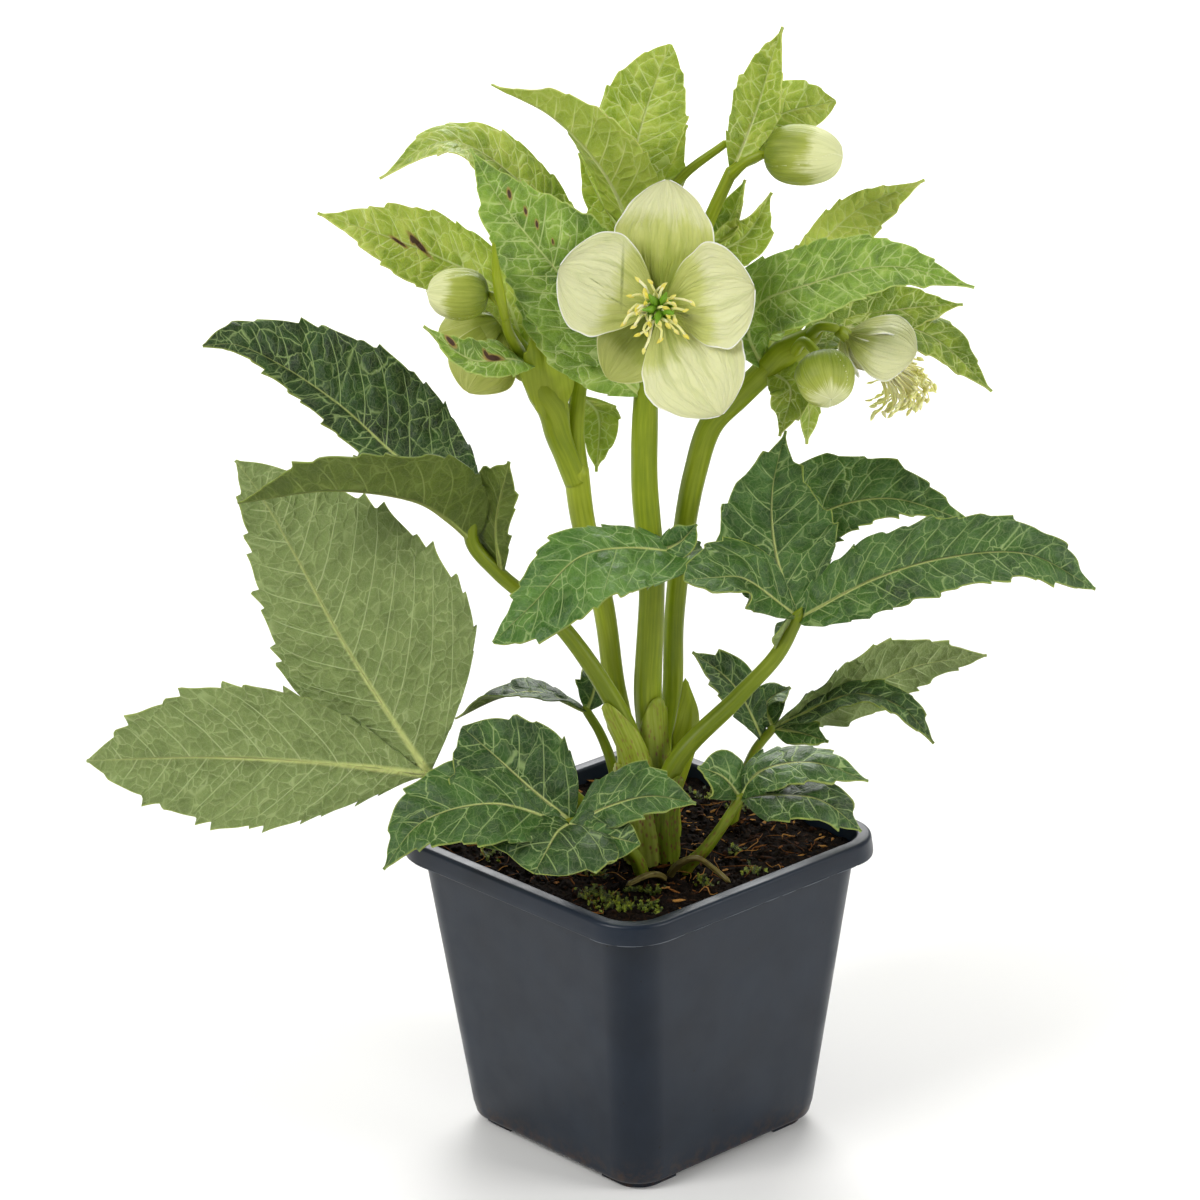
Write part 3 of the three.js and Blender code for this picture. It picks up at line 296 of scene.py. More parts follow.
def sheet_faces(shape):
    """Quads of two skins of one shape and of the strip that closes them all round."""
    size = shape[0] * shape[1]
    index = np.arange(size).reshape(shape)
    rim = np.concatenate([index[0], index[1:, -1], index[-1, -2::-1], index[-2:0:-1, 0]])
    after = np.roll(rim, -1)
    upper = grid_faces(*shape)
    lower = upper[:, ::-1] + size
    return np.vstack([upper, lower, np.stack([after, rim, rim + size, after + size], 1)])


def make_piece(name, parts, material, nodes, in_plant=True, crease=None):
    """One object from many grids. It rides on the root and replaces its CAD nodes."""
    starts = np.cumsum([0] + [len(part["points"]) for part in parts])
    points = np.vstack([part["points"] for part in parts])
    quads = np.vstack([part["quads"] + start for part, start in zip(parts, starts)])
    mesh = bpy.data.meshes.new(name)
    mesh.from_pydata(to_scene(points, in_plant).tolist(), [], quads.tolist())
    mesh.polygons.foreach_set("use_smooth", np.ones(len(quads), bool))
    if crease:
        mesh.set_sharp_from_angle(angle=math.radians(crease))
    for key in parts[0]:
        if key in ("points", "quads"):
            continue
        values = np.concatenate([np.asarray(part[key], np.float32) for part in parts])
        kind, field = ("FLOAT_VECTOR", "vector") if values.ndim == 2 else ("FLOAT", "value")
        mesh.attributes.new(key, kind, "POINT").data.foreach_set(field, values.ravel())
    mesh.materials.append(material)
    piece = bpy.data.objects.new(name, mesh)
    bpy.context.collection.objects.link(piece)
    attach(piece, "root")
    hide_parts(*nodes)
    print(f"{name}: {len(parts)} grids, {2 * len(quads)} triangles")
    return piece


# %% [markdown]
# A stalk is a ring of points carried along its path. A curve with a bevel would give a pipe. Living
# stalks aren't pipes: they have soft lengthwise ridges, small swellings and a rounded end, so the
# radius changes round and along them.

# %% Stalks
# rounded ends: share of the end's radius, and how far out as a share of it
CAPS = [(0.75, 0.35), (0.4, 0.6), (0.02, 0.7)]
SWELL_LENGTH = 30


def directions_across(along):
    """Two directions across a path at each of its points, turned as little as can be."""
    side = np.array([1.0, 0, 0])
    sides = []
    for direction in along:
        side = unit(side - direction * side.dot(direction))
        sides.append(side)
    sides = np.array(sides)
    return sides, np.cross(along, sides)


def stalk(path, radii, sides=20, step=2.2, squash=1.0, ridges=0.03, seed=1, tone=0.5):
    """A ridged, tapering stalk. place holds mm round and along it and its radius."""
    length = smooth_path(path, 50)[2]
    rows = max(6, int(length / step))
    line, along, _ = smooth_path(path, rows)
    share = np.linspace(0, 1, rows + 1)
    radius = np.interp(share, np.linspace(0, 1, len(radii)), radii)
    radius = np.convolve(np.pad(radius, 2, "edge"), [0.1, 0.2, 0.4, 0.2, 0.1], "valid")
    for _, push in CAPS:
        before = line[:1] - along[:1] * radius[0] * push * 0.5
        beyond = line[-1:] + along[-1:] * radius[-1] * push
        line = np.vstack([before, line, beyond])
    ends = np.array([shrink for shrink, _ in CAPS])
    radius = np.concatenate([radius[0] * ends[::-1], radius, radius[-1] * ends])
    along = np.pad(along, ((len(CAPS), len(CAPS)), (0, 0)), "edge")
    share = np.pad(share, len(CAPS), "edge")
    side, across = directions_across(along)
    angle = np.linspace(0, 2 * np.pi, sides, endpoint=False)
    wobble = 1 + ridges * np.sin(5 * angle + seed)[None, :]
    wobble = wobble + 0.5 * ridges * np.sin(11 * angle - 2 * seed)[None, :]
    wobble = wobble + 0.6 * ridges * ripple(share[:, None] * length, angle[None, :] * 4, seed, SWELL_LENGTH)
    ring = radius[:, None] * wobble
    points = line[:, None] + side[:, None] * (ring * np.cos(angle))[..., None]
    points = points + across[:, None] * (ring * squash * np.sin(angle))[..., None]
    around = np.abs(angle - np.pi)[None, :] * radius[:, None]
    place = np.broadcast_arrays(around, share[:, None] * length, radius[:, None])
    return {
        "points": points.reshape(-1, 3),
        "quads": grid_faces(len(line), sides, closed=True),
        "place": np.stack(place, -1).reshape(-1, 3),
        "share": np.repeat(share, sides),
        "tone": np.full(ring.size, tone),
    }


print("a 40 mm stalk has", len(stalk([(0, 0, 0), (0, 0, 40)], [2, 1])["quads"]), "quads")

# %% [markdown]
# A blade, whether leaf, bract or sepal, is a surface on both sides of a midrib. Its half width
# follows a sine outline, as in the CAD source, and the real margin has forward-pointing teeth. They
# could be a picture with holes, but real points keep their edge from every side.

# %% Outline and teeth


def outline(t, wide, base, tip):
    """Half width as a share of the widest, from base at 0 to tip at 1, as in the CAD source."""
    rise = np.sin(np.pi / 2 * np.clip(t / wide, 0, 1)) ** base
    fall = np.maximum(0, np.cos(np.pi / 2 * np.clip((t - wide) / (1 - wide), 0, 1))) ** tip
    return np.where(t < wide, rise, fall)


def teeth(t, length, pitch, depth, seed):
    """How far the margin stands out at t: slow rises and quick falls, each a little different."""
    spot = t * length / pitch + 0.22 * np.sin(3.1 * t * length / pitch + seed) + 0.37 * seed
    part = spot % 1
    height = 0.75 + 0.35 * np.sin(2.3 * np.floor(spot) + 1.7 * seed)
    saw = np.where(part < 0.86, (part / 0.86) ** 1.35, (1 - part) / 0.14)
    return depth * height * saw * np.clip(t * length / 12, 0, 1) * np.clip((1 - t) * 6, 0, 1)


print("a tooth grows over", teeth(np.array([0.5, 0.52, 0.54]), 100, 9, 2, 1).round(2), "mm")

# %% [markdown]
# The pattern of a leaf follows its growth, so each point of a blade also carries the place of the
# side veins, a frame for the net of small veins, and how far the next scar is. The materials read
# these, and the same values lift the surface, so that colour and form agree.

# %% Veins and scars of a blade
VEIN_WIDTH = 0.22
# how much the net's cells lean forward, as the real ones do between the side veins
NET_ACROSS = (0.64, 0.77)
NET_STRETCH = 1.35
UNHURT = 9.0


def net_frame(u, v, w, net, seed):
    """Where a point lies in the net of veins, in cells along and across them."""
    ahead = (v * NET_ACROSS[0] + np.abs(w) * NET_ACROSS[1]) / NET_STRETCH
    beside = v * NET_ACROSS[1] - np.abs(w) * NET_ACROSS[0]
    apart = (31.7 * seed + 9.1 * (u < 0)) * net + 0 * v
    return np.stack([ahead, beside, apart], -1) / net


def scar_distance(v, w, length, width, scars):
    """Distance to the next scar as a share of its size. Each is an ellipse on the blade."""
    nearest = np.full(w.shape, UNHURT)
    for where, sideways, radius, lean, slim in scars:
        ahead, beside = v - where * length, w - sideways * width
        run = math.cos(lean) * ahead + math.sin(lean) * beside
        across = math.cos(lean) * beside - math.sin(lean) * ahead
        nearest = np.minimum(nearest, np.hypot(run, slim * across) / radius)
    return nearest


print("vein width:", VEIN_WIDTH, "mm")

# %% [markdown]
# The blade itself is closed into a thin solid. Between the side veins it swells, the midrib stands
# out below and leaves a groove above, and the whole sheet buckles and ruffles towards its margin. All
# of that is made in the grid. The finer net of veins is left to the material.

# %% Blades
THICKNESS = 0.48


def blade(rib, half, face, wide=0.42, base=0.8, tip=1.15, fold=0.12, cup=0, wave=1.0, neck=1.3, pitch=9.0,
          bite=2.0, cell=0.95, swell=0.6, lateral=12.0, net=7.6, buckle=1.3, seed=1, scars=(), fan=False,
          ribbed=1.0, tone=None):
    """A thin closed blade. place holds mm from the midrib, along it and from the margin."""
    length = smooth_path(rib, 50)[2]
    rows = max(10, int(length / cell))
    line, along, _ = smooth_path(rib, rows)
    t = np.linspace(0, 1, rows + 1)[:, None]
    side = unit(np.cross(along, unit(face)))
    lift = np.cross(side, along)
    count = max(5, int(1.15 * max(half) / cell))
    spread = np.linspace(-1, 1, 2 * count + 1)
    u = (np.sign(spread) * np.abs(spread) ** 1.15)[None, :]
    size = np.abs(u)
    left = u < 0

    # outline: u and t run across and along from -1 or 0 to 1, w and v in millimetres
    reach = np.where(left, half[0], half[1]) * outline(t, wide, base, tip)
    room = np.minimum(1, reach / 6)
    if fan:
        reach = reach * (1 + 0.02 * ripple(t * length, 40 * np.sign(u), seed + 2, 9))
    width = np.maximum(neck * (1 - 0.6 * t), reach)
    saw = np.where(left, teeth(t, length, pitch, bite, seed), teeth(t, length, pitch, bite, seed + 2.6))
    saw = saw * room * np.clip((size - 0.72) / 0.28, 0, 1) ** 1.4
    w = u * width + np.sign(u) * saw
    v = t * length + 0 * u

    # height over the flat blade
    ruffle = wave * room * size * np.sin(9 * t + np.where(left, 0.6, 2.4))
    ruffle = ruffle + 0.55 * wave * room * size**2 * ripple(v, w, seed + 5, 17)
    height = np.abs(w) * fold + cup * u * u * width + ruffle
    dents = 0.35 * ripple(v, w, seed, 26) + 0.2 * ripple(v, w, seed + 9, 9)
    height = height + buckle * room * dents * np.minimum(1, size * 3)
    middle = line[:, None] + side[:, None] * w[..., None] + lift[:, None] * height[..., None]
    middle = middle + along[:, None] * (0.9 * saw)[..., None]

    # the two skins, with the swells between the side veins and the midrib
    vein = (v - 0.75 * np.abs(w) - 0.012 * w**2) / lateral + np.where(left, 0.0, 0.45) + 0.37 * seed
    quilt = swell * room * np.sin(np.pi * vein) ** 2 * np.minimum(1, size * 4) * (1 - size**4)
    normal = unit(np.cross(np.gradient(middle, axis=1), np.gradient(middle, axis=0)))
    keel = 1 - 0.75 * t
    groove = 0.35 * keel * np.exp(-((w / 1.1) ** 2)) * min(1, ribbed)
    keel_below = 0.85 * ribbed * keel * np.exp(-((w / (0.95 * ribbed)) ** 2)) * min(1, max(half) / 9)
    upper = middle + normal * (quilt - groove + THICKNESS / 2)[..., None]
    lower = middle + normal * (quilt * 0.8 - keel_below - THICKNESS / 2)[..., None]

    # what the materials read
    if fan:
        web = np.stack([u * 5.5 + 0 * v, v / 11, 0 * v + 7.3 * seed], -1)
    else:
        web = net_frame(u, v, w, net, seed)
    both = {
        "place": np.stack([w, v, (1 - size) * width + 0 * v], -1).reshape(-1, 3),
        "web": web.reshape(-1, 3),
        "vein": vein.ravel(),
        "share": (t + 0 * u).ravel(),
        "hurt": scar_distance(v, w, length, width, scars).ravel(),
        "tone": np.full(w.size, (0.37 * seed) % 1 if tone is None else tone),
        "off": (np.abs(w) / max(ribbed, 0.3) + 0.75 * t).ravel(),
        "line": np.tile([VEIN_WIDTH / net, 2.2 * VEIN_WIDTH / lateral, 0], (w.size, 1)),
    }
    made = {key: np.concatenate([value, value]) for key, value in both.items()}
    made["under"] = np.repeat([0.0, 1.0], w.size)
    made["points"] = np.vstack([upper.reshape(-1, 3), lower.reshape(-1, 3)])
    made["quads"] = sheet_faces(w.shape)
    return made


trial = blade([(0, 0, 0), (0, 0, 60)], [15, 15], (0, -1, 0))
print("a 60 mm blade has", 2 * len(trial["quads"]), "triangles")

# %% [markdown]
# The nursery pot is injection-moulded polypropylene, in slate grey: a square tub with round corners,
# a flat lip, a skirt round the rim and small corner feet. Its sizes come first, in millimetres: the
# wall leans outwards and its corners grow rounder towards the rim.

# %% Pot sizes
POT_TOP = 113.7
RIM_SIDE = 130
RIM_RADIUS = 18.7
LIP_SIDE = RIM_SIDE - 11.2
BAND_FOOT = POT_TOP - 7.4
SHOULDER_SIDE = 119.3
SHOULDER_RADIUS = 15.7
BASE_SIDE = 95.4
BASE_RADIUS = 13.4
WALL = 1.3
FLOOR_FOOT = 2.5
FLOOR_TOP = FLOOR_FOOT + WALL
BAND_FLARE = 0.23  # how fast the wall's width grows above the shoulder


def wall_side(z):
    """Outer width of the wall at a height."""
    above = max(0, z - BAND_FOOT)
    return np.interp(z, [FLOOR_FOOT, BAND_FOOT], [BASE_SIDE, SHOULDER_SIDE]) + above * BAND_FLARE


def wall_radius(z):
    """Corner radius of the wall at a height."""
    return float(np.interp(z, [FLOOR_FOOT, BAND_FOOT], [BASE_RADIUS, SHOULDER_RADIUS]))


print("wall at mid height:", round(float(wall_side(POT_TOP / 2)), 1), "mm wide")

# %% [markdown]
# The tub could be a cube with bevels. Here its profile is one list of square loops, from the middle of
# the floor up the outside and down the inside. Every rounded edge gets a few steps, since its small
# radius is what catches the light.

# %% Pot profile


def square_loop(side, radius, z, steps=14, flat_steps=10):
    """One turn round a square with round corners, with a few points on the flats."""
    loop = []
    signs = np.array([(1, 1), (-1, 1), (-1, -1), (1, -1)])
    centres = signs * (side / 2 - radius)
    for corner in range(4):
        angles = np.pi / 2 * (corner + np.arange(steps + 1) / steps)
        arc = centres[corner] + radius * np.stack([np.cos(angles), np.sin(angles)], 1)
        end = np.array([np.cos(angles[-1]), np.sin(angles[-1])])
        following = centres[(corner + 1) % 4] + radius * end
        flat = arc[-1] + (following - arc[-1]) * (np.arange(1, flat_steps) / flat_steps)[:, None]
        loop.append(np.vstack([arc, flat]))
    loop = np.vstack(loop)
    return np.column_stack([loop, np.full(len(loop), z)])


def rounded(side, radius, z, turn, size, steps=4):
    """Loops for a rounded edge: a quarter turn from the angle turn, about a centre line."""
    angles = np.radians(turn) + np.pi / 2 * np.arange(steps + 1) / steps
    moves = [(size * np.cos(a), size * np.sin(a)) for a in angles]
    return [square_loop(side + 2 * out, radius + out, z + up) for out, up in moves]


# the floor's underside and its rounded edge
profile = [square_loop(0.1, 0.04, FLOOR_FOOT), square_loop(60, 9, FLOOR_FOOT)]
profile += rounded(BASE_SIDE - 5, BASE_RADIUS - 2.4, FLOOR_FOOT + 2.5, -90, 2.5)
# the wall, up to the hollow under the lip
wall_heights = (8, 30, 55, 80, 98, BAND_FOOT, POT_TOP - 1.9)
profile += [square_loop(wall_side(z), wall_radius(z), z) for z in wall_heights]
profile += [square_loop(RIM_SIDE - 2.6, RIM_RADIUS - 1.3, POT_TOP - 1.9)]
# the skirt, down its inside, round its edge and up its outside
profile += rounded(RIM_SIDE - 1.1, RIM_RADIUS - 0.9, BAND_FOOT + 0.35, 180, 0.5)
profile += rounded(RIM_SIDE + 0.3, RIM_RADIUS - 0.1, BAND_FOOT + 0.35, -90, 0.35)
profile += [square_loop(RIM_SIDE + 0.9, RIM_RADIUS + 0.4, POT_TOP - 5)]
# the two rounded edges of the lip
profile += rounded(RIM_SIDE - 3.0, RIM_RADIUS - 1.5, POT_TOP - 1.5, 0, 1.5, steps=6)
profile += rounded(LIP_SIDE + 2.4, RIM_RADIUS - 4.4, POT_TOP - 1.2, 90, 1.2, steps=6)
# the inside, down to the middle of the floor
inside = (POT_TOP - 4.5, 106, 80, 40, 8)
profile += [square_loop(wall_side(z) - 2 * WALL, wall_radius(z) - WALL, z) for z in inside]
profile += [square_loop(BASE_SIDE - 5, BASE_RADIUS - 2.4, FLOOR_TOP), square_loop(0.1, 0.04, FLOOR_TOP)]
profile = np.array(profile)
print("the pot's profile has", len(profile), "loops of", profile.shape[1], "points")

# %% [markdown]
# Polypropylene is a matt to satin plastic with an IOR of about 1.5. The mould leaves a very fine
# grain, and recycled plastic has dark specks of 0.3 to 1 mm. Near the foot the wall is dusty with
# peat. All of it could be painted on a picture. Noise in real millimetres is finer at any distance.

# %% Moulded polypropylene
polypropylene, tree, shader = new_material("moulded_polypropylene", IOR=1.49, Specular_IOR_Level=0.3)
millimetres = in_millimetres(tree)
cloud = add(tree, "TexNoise", {"Vector": millimetres, "Scale": 1 / 26, "Detail": 4.0}).outputs["Fac"]
slate = add(tree, "ValToRGB", {0: cloud}, stops=[(0.3, "#111a26"), (0.7, "#192330")]).outputs[0]
speck = {"Vector": millimetres, "Scale": 1 / 3.4, "Randomness": 1.0}
speck = add(tree, "TexVoronoi", speck).outputs["Distance"]
pick = add(tree, "TexNoise", {"Vector": millimetres, "Scale": 1 / 5}).outputs["Fac"]
# only some of the specks show, and they differ in size
size = add(tree, "MapRange", {0: pick, 1: 0.5, 2: 0.75, 3: 0.0, 4: 0.16}).outputs[0]
dots = add(tree, "Math", {0: speck, 1: size}, operation="LESS_THAN").outputs[0]
specked = add(tree, "Mix", {0: dots, 6: slate, 7: "#0c0d0f"}, data_type="RGBA").outputs[2]
# dust, which thins out over the lowest 16 mm
height = add(tree, "SeparateXYZ", {0: millimetres}).outputs[2]
low = {0: height, 1: 2.0, 2: 16.0, 3: 0.62, 4: 0.0}
low = add(tree, "MapRange", low, interpolation_type="SMOOTHSTEP").outputs[0]
dust = {"Vector": millimetres, "Scale": 1 / 4, "Detail": 6.0, "Roughness": 0.7}
dust = add(tree, "TexNoise", dust).outputs["Fac"]
dust = add(tree, "MapRange", {0: dust, 1: 0.45, 2: 0.65, 3: 0.0, 4: 1.0}).outputs[0]
dusty = add(tree, "Math", {0: low, 1: dust}, operation="MULTIPLY").outputs[0]
dusted = add(tree, "Mix", {0: dusty, 6: specked, 7: "#4b3626"}, data_type="RGBA").outputs[2]
tree.links.new(dusted, shader.inputs["Base Color"])
smear = add(tree, "TexNoise", {"Vector": millimetres, "Scale": 1 / 9, "Detail": 5.0}).outputs["Fac"]
satin = add(tree, "MapRange", {0: smear, 1: 0.3, 2: 0.7, 3: 0.28, 4: 0.42}).outputs[0]
tree.links.new(satin, shader.inputs["Roughness"])
grain = add(tree, "TexNoise", {"Vector": millimetres, "Scale": 1.6, "Detail": 3.0}).outputs["Fac"]
bump = add(tree, "Bump", {"Height": grain, "Strength": 0.12, "Distance": 0.0002}).outputs[0]
tree.links.new(bump, shader.inputs["Normal"])
print(polypropylene.name, "has", len(tree.nodes), "nodes")

# %% [markdown]
# The tub is the profile carried round. Four drain holes go through its floor. They could be modelled
# into the grid, but a boolean with four short cylinders is quicker and leaves the rest alone.

# %% Tub
DRAIN_SIDES = 24
DRAIN_RADIUS = 5
DRAIN_PLACE = 25
DRAIN_LEVELS = (-1, 9)
tub_grid = {
    "points": profile.reshape(-1, 3),
    "quads": grid_faces(len(profile), profile.shape[1], closed=True)[:, ::-1],
}
tub = make_piece("pot_tub", [tub_grid], polypropylene, ["pot"], in_plant=False, crease=55)
corners, faces = [], []
angle = np.linspace(0, 2 * np.pi, DRAIN_SIDES, endpoint=False)
for turn in range(4):
    centre = DRAIN_PLACE * np.array([math.cos(math.pi / 2 * turn), math.sin(math.pi / 2 * turn)])
    ring = centre + DRAIN_RADIUS * np.stack([np.cos(angle), np.sin(angle)], 1)
    low = len(corners)
    high = low + DRAIN_SIDES
    corners += [(x, y, z) for z in DRAIN_LEVELS for x, y in ring]
    faces += [tuple(range(high - 1, low - 1, -1)), tuple(range(high, high + DRAIN_SIDES))]
    for i in range(DRAIN_SIDES):
        after = (i + 1) % DRAIN_SIDES
        faces.append((low + i, low + after, high + after, high + i))
cutter_mesh = bpy.data.meshes.new("drain_cutter")
cutter_mesh.from_pydata(to_scene(corners, False).tolist(), [], faces)
cutter = bpy.data.objects.new("drain_cutter", cutter_mesh)
bpy.context.collection.objects.link(cutter)
drains = tub.modifiers.new("drains", "BOOLEAN")
drains.operation = "DIFFERENCE"
drains.solver = "EXACT"
drains.object = cutter
bpy.context.view_layer.update()
drained = bpy.data.meshes.new_from_object(tub.evaluated_get(bpy.context.evaluated_depsgraph_get()))
tub.modifiers.clear()
tub.data = drained
bpy.data.objects.remove(cutter)
print("the drained tub has", len(tub.data.polygons), "faces")

# %% [markdown]
# The feet are two short bars each, in an L with a round knee under every corner, and a round pad
# stands under the middle. Each foot is a flat line with a rectangular section, turned four times.

# %% Feet
FOOT_LEG = 19
FOOT_WIDTH = 5.5
FOOT_PLACE = BASE_SIDE / 2 - 4
FOOT_KNEE = 9.4
FOOT_TOP = 3.2
PAD_SIDES = 40


def bar(line, normals, deep, low, high):
    """A closed bar of rectangular section along a flat line. normals point to its outer side."""
    outer, inner = line, line - deep * normals
    levels = [(outer, low), (outer, high), (inner, high), (inner, low)]
    rings = np.stack([np.column_stack([xy, np.full(len(xy), z)]) for xy, z in levels], 1)
    last = 4 * (len(line) - 1)
    ends = [[3, 2, 1, 0], [last, last + 1, last + 2, last + 3]]
    return {"points": rings.reshape(-1, 3), "quads": np.vstack([grid_faces(len(line), 4, closed=True), ends])}


feet = []
bend = np.radians(np.linspace(90, 0, 13))
knee = np.column_stack([np.cos(bend), np.sin(bend)])
line = np.vstack([
    [FOOT_PLACE - FOOT_LEG, FOOT_PLACE],
    FOOT_PLACE - FOOT_KNEE + FOOT_KNEE * knee,
    [FOOT_PLACE, FOOT_PLACE - FOOT_LEG],
])
normals = np.vstack([[0, 1], knee, [1, 0]])
for turn in range(4):
    spin = np.array(Matrix.Rotation(math.pi / 2 * turn, 3, "Z"))
    foot = bar(line, normals, FOOT_WIDTH, 0, FOOT_TOP)
    foot["points"] = foot["points"] @ spin.T
    feet.append(foot)
angle = np.linspace(0, 2 * np.pi, PAD_SIDES, endpoint=False)
pad_profile = [(0.02, 0), (10.6, 0), (11, 0.4), (11, 3)]
c, s = np.cos(angle), np.sin(angle)
rings = [np.column_stack([r * c, r * s, np.full(PAD_SIDES, z)]) for r, z in pad_profile]
feet.append({"points": np.vstack(rings), "quads": grid_faces(len(pad_profile), PAD_SIDES, closed=True)})
make_piece("pot_feet", feet, polypropylene, ["pot"], in_plant=False, crease=40)

# %% [markdown]
# Along the lower edge of the skirt runs a thin flash line, where the two halves of the mould met. It
# was trimmed, so it is broken and paler. Short threads of random length give that, one after another.

# %% Flash line
trimmed_polypropylene, _, _ = new_material("trimmed_polypropylene", Base_Color="#565c64", Roughness=0.45)
dice = np.random.default_rng(4)
edge = square_loop(RIM_SIDE + 1.0, RIM_RADIUS + 0.5, BAND_FOOT + 0.15, steps=30, flat_steps=70)
flash = []
start = 0
while start < len(edge) - 4:
    run = int(dice.integers(3, 16))
    strip = edge[start:start + run + 1]
    if len(strip) > 2:
        flash.append(stalk(strip, [0.06, 0.16, 0.13, 0.05], sides=5, step=1.4, ridges=0.4, seed=start))
    start += run + int(dice.integers(1, 5))
make_piece("pot_flash_line", flash, trimmed_polypropylene, ["pot"], in_plant=False)

# %% [markdown]
# Potting peat is black when moist, with crumbs, slivers of bark in tan and orange, and short root
# fibres. Its surface could be a displaced plane. Here it is a fine grid of rings with swells at
# several sizes, so that the same function tells every crumb and shoot how high it lies.

# %% Peat shape
SOIL_TOP = 108.6
SOIL_RELIEF = 1.1
WALL_ROOM = 3.3  # the wall on both sides and the gaps to it


def peat_height(x, y):
    """The soil's top over the pot's x and y, in millimetres."""
    swells = 0.7 * np.sin(0.11 * x + 0.7) * np.cos(0.13 * y - 0.4)
    clods = 0.6 * np.sin(0.47 * x + 0.21 * y) * np.sin(0.39 * y - 0.17 * x + 1.3)
    fine = 0.45 * ripple(x, y, 3, 7.5) + 0.3 * ripple(x, y, 8, 3.6) + 0.2 * ripple(x, y, 12, 2.0)
    return SOIL_TOP + SOIL_RELIEF * (swells + clods) + fine


def square_reach(angle, side, radius):
    """Distance from the middle to the edge of a square with round corners."""
    c, s = np.abs(np.cos(angle)), np.abs(np.sin(angle))
    straight = side / 2 / np.maximum(c, s)
    flat = side / 2 - radius
    across = flat * (c + s)
    corner = across + np.sqrt(np.maximum(0, across**2 - 2 * flat**2 + radius**2))
    return np.where(straight * np.minimum(c, s) <= flat, straight, corner)


print("the peat's top at the middle:", round(float(peat_height(0, 0)), 2), "mm")

# %% [markdown]
# Moist peat hardly shines. Its colour runs from near black to brown with the noise of its crumbs,
# which are about 1.6 mm, and the same noise roughens it.

# %% Peat surface
SOIL_SIDES = 260
SOIL_RINGS = 84
SOIL_FOOT = 4.4
FOOT_ROOM = 3.4
angle = np.linspace(0, 2 * np.pi, SOIL_SIDES, endpoint=False)


def soil_reach(z, room=WALL_ROOM):
    """Distances from the middle to the edge of the soil at a height."""
    return square_reach(angle, wall_side(z) - room, wall_radius(z) - WALL)


def soil_ring(reach, z):
    """One ring of the soil's body at a height."""
    return np.column_stack([reach * np.cos(angle), reach * np.sin(angle), np.full(SOIL_SIDES, z)])


reach = soil_reach(SOIL_TOP)
shares = np.concatenate([np.linspace(1, 0, SOIL_RINGS)[:-1] ** 0.8, [0.002]])
x = shares[:, None] * (reach * np.cos(angle))[None, :]
y = shares[:, None] * (reach * np.sin(angle))[None, :]
surface = np.stack([x, y, peat_height(x, y)], -1).reshape(-1, 3)
foot_rings = [soil_ring(0.01, SOIL_FOOT), soil_ring(soil_reach(5, FOOT_ROOM), SOIL_FOOT)]
body = [*foot_rings, soil_ring(soil_reach(60), 60)]
soil_grid = {
    "points": np.vstack([*body, surface]),
    "quads": grid_faces(len(body) + len(shares), SOIL_SIDES, closed=True),
}
moist_peat, tree, shader = new_material("moist_peat", Roughness=0.95, Specular_IOR_Level=0.08)
millimetres = in_millimetres(tree)
settings = {"Vector": millimetres, "Scale": 1 / 1.6, "Detail": 6.0, "Roughness": 0.65}
crumb = add(tree, "TexNoise", settings).outputs["Fac"]
earths = [(0.3, "#050302"), (0.52, "#120b06"), (0.66, "#2a1c0f"), (0.8, "#553a1e")]
earth = add(tree, "ValToRGB", {0: crumb}, stops=earths).outputs[0]
tree.links.new(earth, shader.inputs["Base Color"])
bump = add(tree, "Bump", {"Height": crumb, "Strength": 0.9, "Distance": 0.0012}).outputs[0]
tree.links.new(bump, shader.inputs["Normal"])
make_piece("peat_surface", [soil_grid], moist_peat, ["soil"], in_plant=False)

# %% [markdown]
# The crumbs and slivers are made in one go: a small lump of eighteen faces, stretched, turned and
# scattered many times by a seeded draw. A particle system would do it too, but it leaves nothing that
# can be handed on as one mesh.

# %% Lumps
dice = np.random.default_rng(21)
LUMP_SIDES = 6
LUMP_LEVELS = [(-1, 0.05), (-0.5, 0.9), (0.5, 0.9), (1, 0.05)]
LUMP_POINTS = LUMP_SIDES * len(LUMP_LEVELS)


def scatter_spots(count, keep=1.0):
    """Random places on the soil, in the pot's frame."""
    angle = dice.uniform(0, 2 * np.pi, count)
    share = np.sqrt(dice.uniform(0, 1, count)) * keep
    far = share * square_reach(angle, wall_side(SOIL_TOP) - 5, wall_radius(SOIL_TOP) - 2)
    x, y = far * np.cos(angle), far * np.sin(angle)
    return np.stack([x, y, peat_height(x, y)], 1)


def turned(first, second, angle):
    """Two coordinates of many lumps after a turn by an angle each."""
    c, s = np.cos(angle)[:, None], np.sin(angle)[:, None]
    return first * c - second * s, first * s + second * c


def lumps(spots, sizes, tones, tilt=0.6):
    """Many irregular lumps as one part. sizes are half lengths along three axes."""
    count = len(spots)
    rounds = np.linspace(0, 2 * np.pi, LUMP_SIDES, endpoint=False)
    unit_lump = np.array([(z, r * np.cos(a), r * np.sin(a)) for z, r in LUMP_LEVELS for a in rounds])
    shape = unit_lump * (1 + dice.uniform(-0.28, 0.28, (count, LUMP_POINTS, 3)))
    shape = shape * sizes[:, None, :]
    heading = dice.uniform(0, 2 * np.pi, count)
    lean = dice.normal(0, tilt, count)
    x, y, z = shape[..., 0], shape[..., 1], shape[..., 2]
    x, z = turned(x, z, lean)
    x, y = turned(x, y, heading)
    points = np.stack([x, y, z], -1) + spots[:, None, :]
    faces = grid_faces(len(LUMP_LEVELS), LUMP_SIDES, closed=True)
    quads = (faces[None] + LUMP_POINTS * np.arange(count)[:, None, None]).reshape(-1, 4)
    return {"points": points.reshape(-1, 3), "quads": quads, "tone": np.repeat(tones, LUMP_POINTS)}


